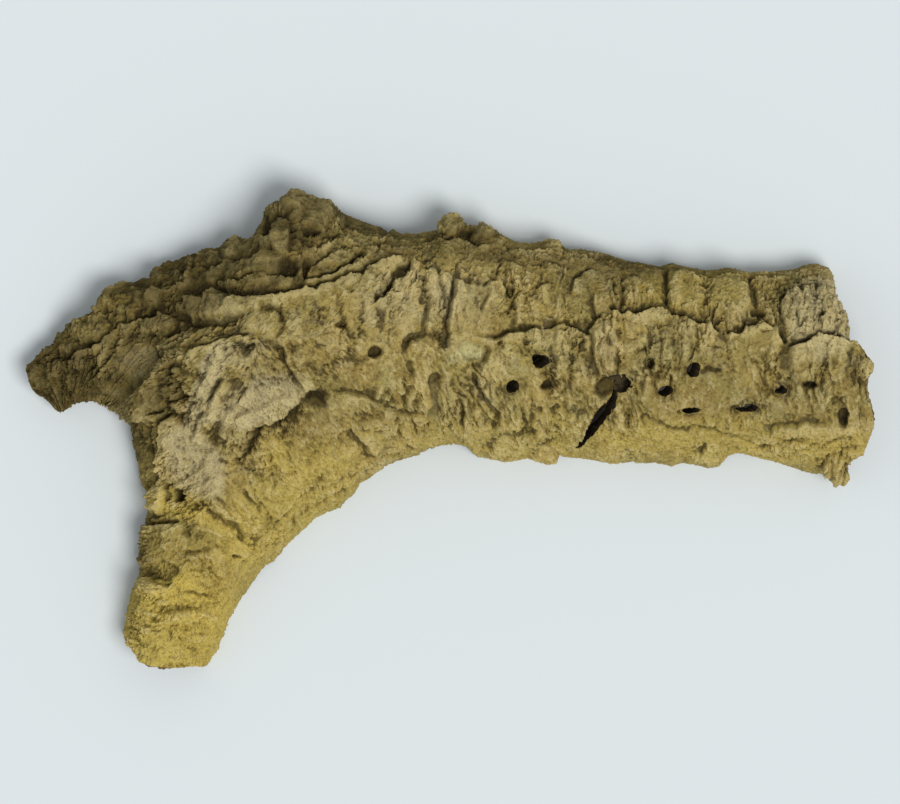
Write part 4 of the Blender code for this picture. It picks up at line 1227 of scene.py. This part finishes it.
def make_stage():
    """A plain pale floor, and soft light from the lower right of the picture."""
    mesh = bpy.data.meshes.new("floor")
    half = FLOOR_SIZE / 2
    mesh.from_pydata([(-half, -half, 0), (half, -half, 0), (half, half, 0), (-half, half, 0)], [], [(0, 1, 2, 3)])
    floor = bpy.data.objects.new("floor", mesh)
    bpy.context.scene.collection.objects.link(floor)
    material, _, shader, _ = new_material("floor", 0.9)
    shader.inputs["Base Color"].default_value = FLOOR_COLOUR
    mesh.materials.append(material)

    world = bpy.data.worlds.new("studio")
    bpy.context.scene.world = world
    world.use_nodes = True
    background = world.node_tree.nodes["Background"]
    background.inputs["Color"].default_value = SKY_COLOUR
    background.inputs["Strength"].default_value = SKY_STRENGTH

    sun = bpy.data.lights.new("key", "SUN")
    sun.energy = SUN_STRENGTH
    sun.color = SUN_COLOUR
    sun.angle = math.radians(SUN_SOFTNESS)
    light = bpy.data.objects.new("key", sun)
    tilt = math.radians(90.0 - SUN_ELEVATION)
    turn = math.radians(SUN_BEARING)
    toward = Vector((math.sin(tilt) * math.sin(turn), -math.sin(tilt) * math.cos(turn), math.cos(tilt)))
    light.rotation_euler = toward.to_track_quat("Z", "Y").to_euler()
    bpy.context.scene.collection.objects.link(light)


def make_camera():
    """Straight above the middle of the picture, far off, with the photograph's frame at mid height."""
    data = bpy.data.cameras.new("camera")
    data.sensor_width = 36.0
    width = PICTURE_PIXELS[0] * METRES_PER_PIXEL
    data.lens = data.sensor_width * CAMERA_DISTANCE / width
    data.clip_end = 50.0
    camera = bpy.data.objects.new("camera", data)
    middle = to_metres(np.array(PICTURE_PIXELS, float) / 2)
    camera.location = (middle[0], middle[1], CAMERA_DISTANCE + MID_HEIGHT)
    bpy.context.scene.collection.objects.link(camera)
    bpy.context.scene.camera = camera
    bpy.context.scene.view_settings.view_transform = "Standard"


OLIVE_BARK = srgb(160, 146, 86)
TAN_BARK = srgb(178, 157, 92)
OCHRE_BARK = srgb(210, 187, 94)
# Darker bark, and partly painted shade
DARK_AND_SHADED_BARK = srgb(90, 78, 40)
DUSTY_BARK = srgb(188, 175, 134)
BROWN_BARK = srgb(128, 104, 52)
# Dark specks and crumbs, and the painted shade in the hollows
DEEP_BARK = srgb(48, 38, 20)
# Paler ridges: partly wear, partly painted highlight
WEAR_AND_HIGHLIGHT_BARK = srgb(216, 199, 142)
LINING_TAN = srgb(176, 142, 98)
LINING_BROWN = srgb(140, 104, 66)
LINING_DARK = srgb(96, 70, 44)
TORN_TAN = srgb(158, 128, 80)
TORN_BROWN = srgb(118, 92, 54)
# The dark walls of the borings and the split: painted shade
BORED_BROWN = srgb(76, 65, 44)
BORED_DARK = srgb(50, 43, 29)
GREEN_BARK = srgb(206, 198, 142)
FLOOR_COLOUR = srgb(219, 226, 229)
FLOOR_SIZE = 8.0
SKY_COLOUR = (0.93, 0.97, 1.0, 1.0)
SKY_STRENGTH = 0.46
SUN_STRENGTH = 2.05
SUN_COLOUR = (1.0, 0.98, 0.95)
SUN_SOFTNESS = 26.0
SUN_ELEVATION = 67.0
SUN_BEARING = 45.0  # degrees from the bottom of the picture towards its right
PICTURE_PIXELS = (900, 804)
CAMERA_DISTANCE = 6.0
MID_HEIGHT = 0.035

materials = [bark_material(), lining_material(), torn_material(), bored_material()]
for piece, node in make_bark(materials):
    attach(piece, "root")
    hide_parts(node)
make_stage()
make_camera()
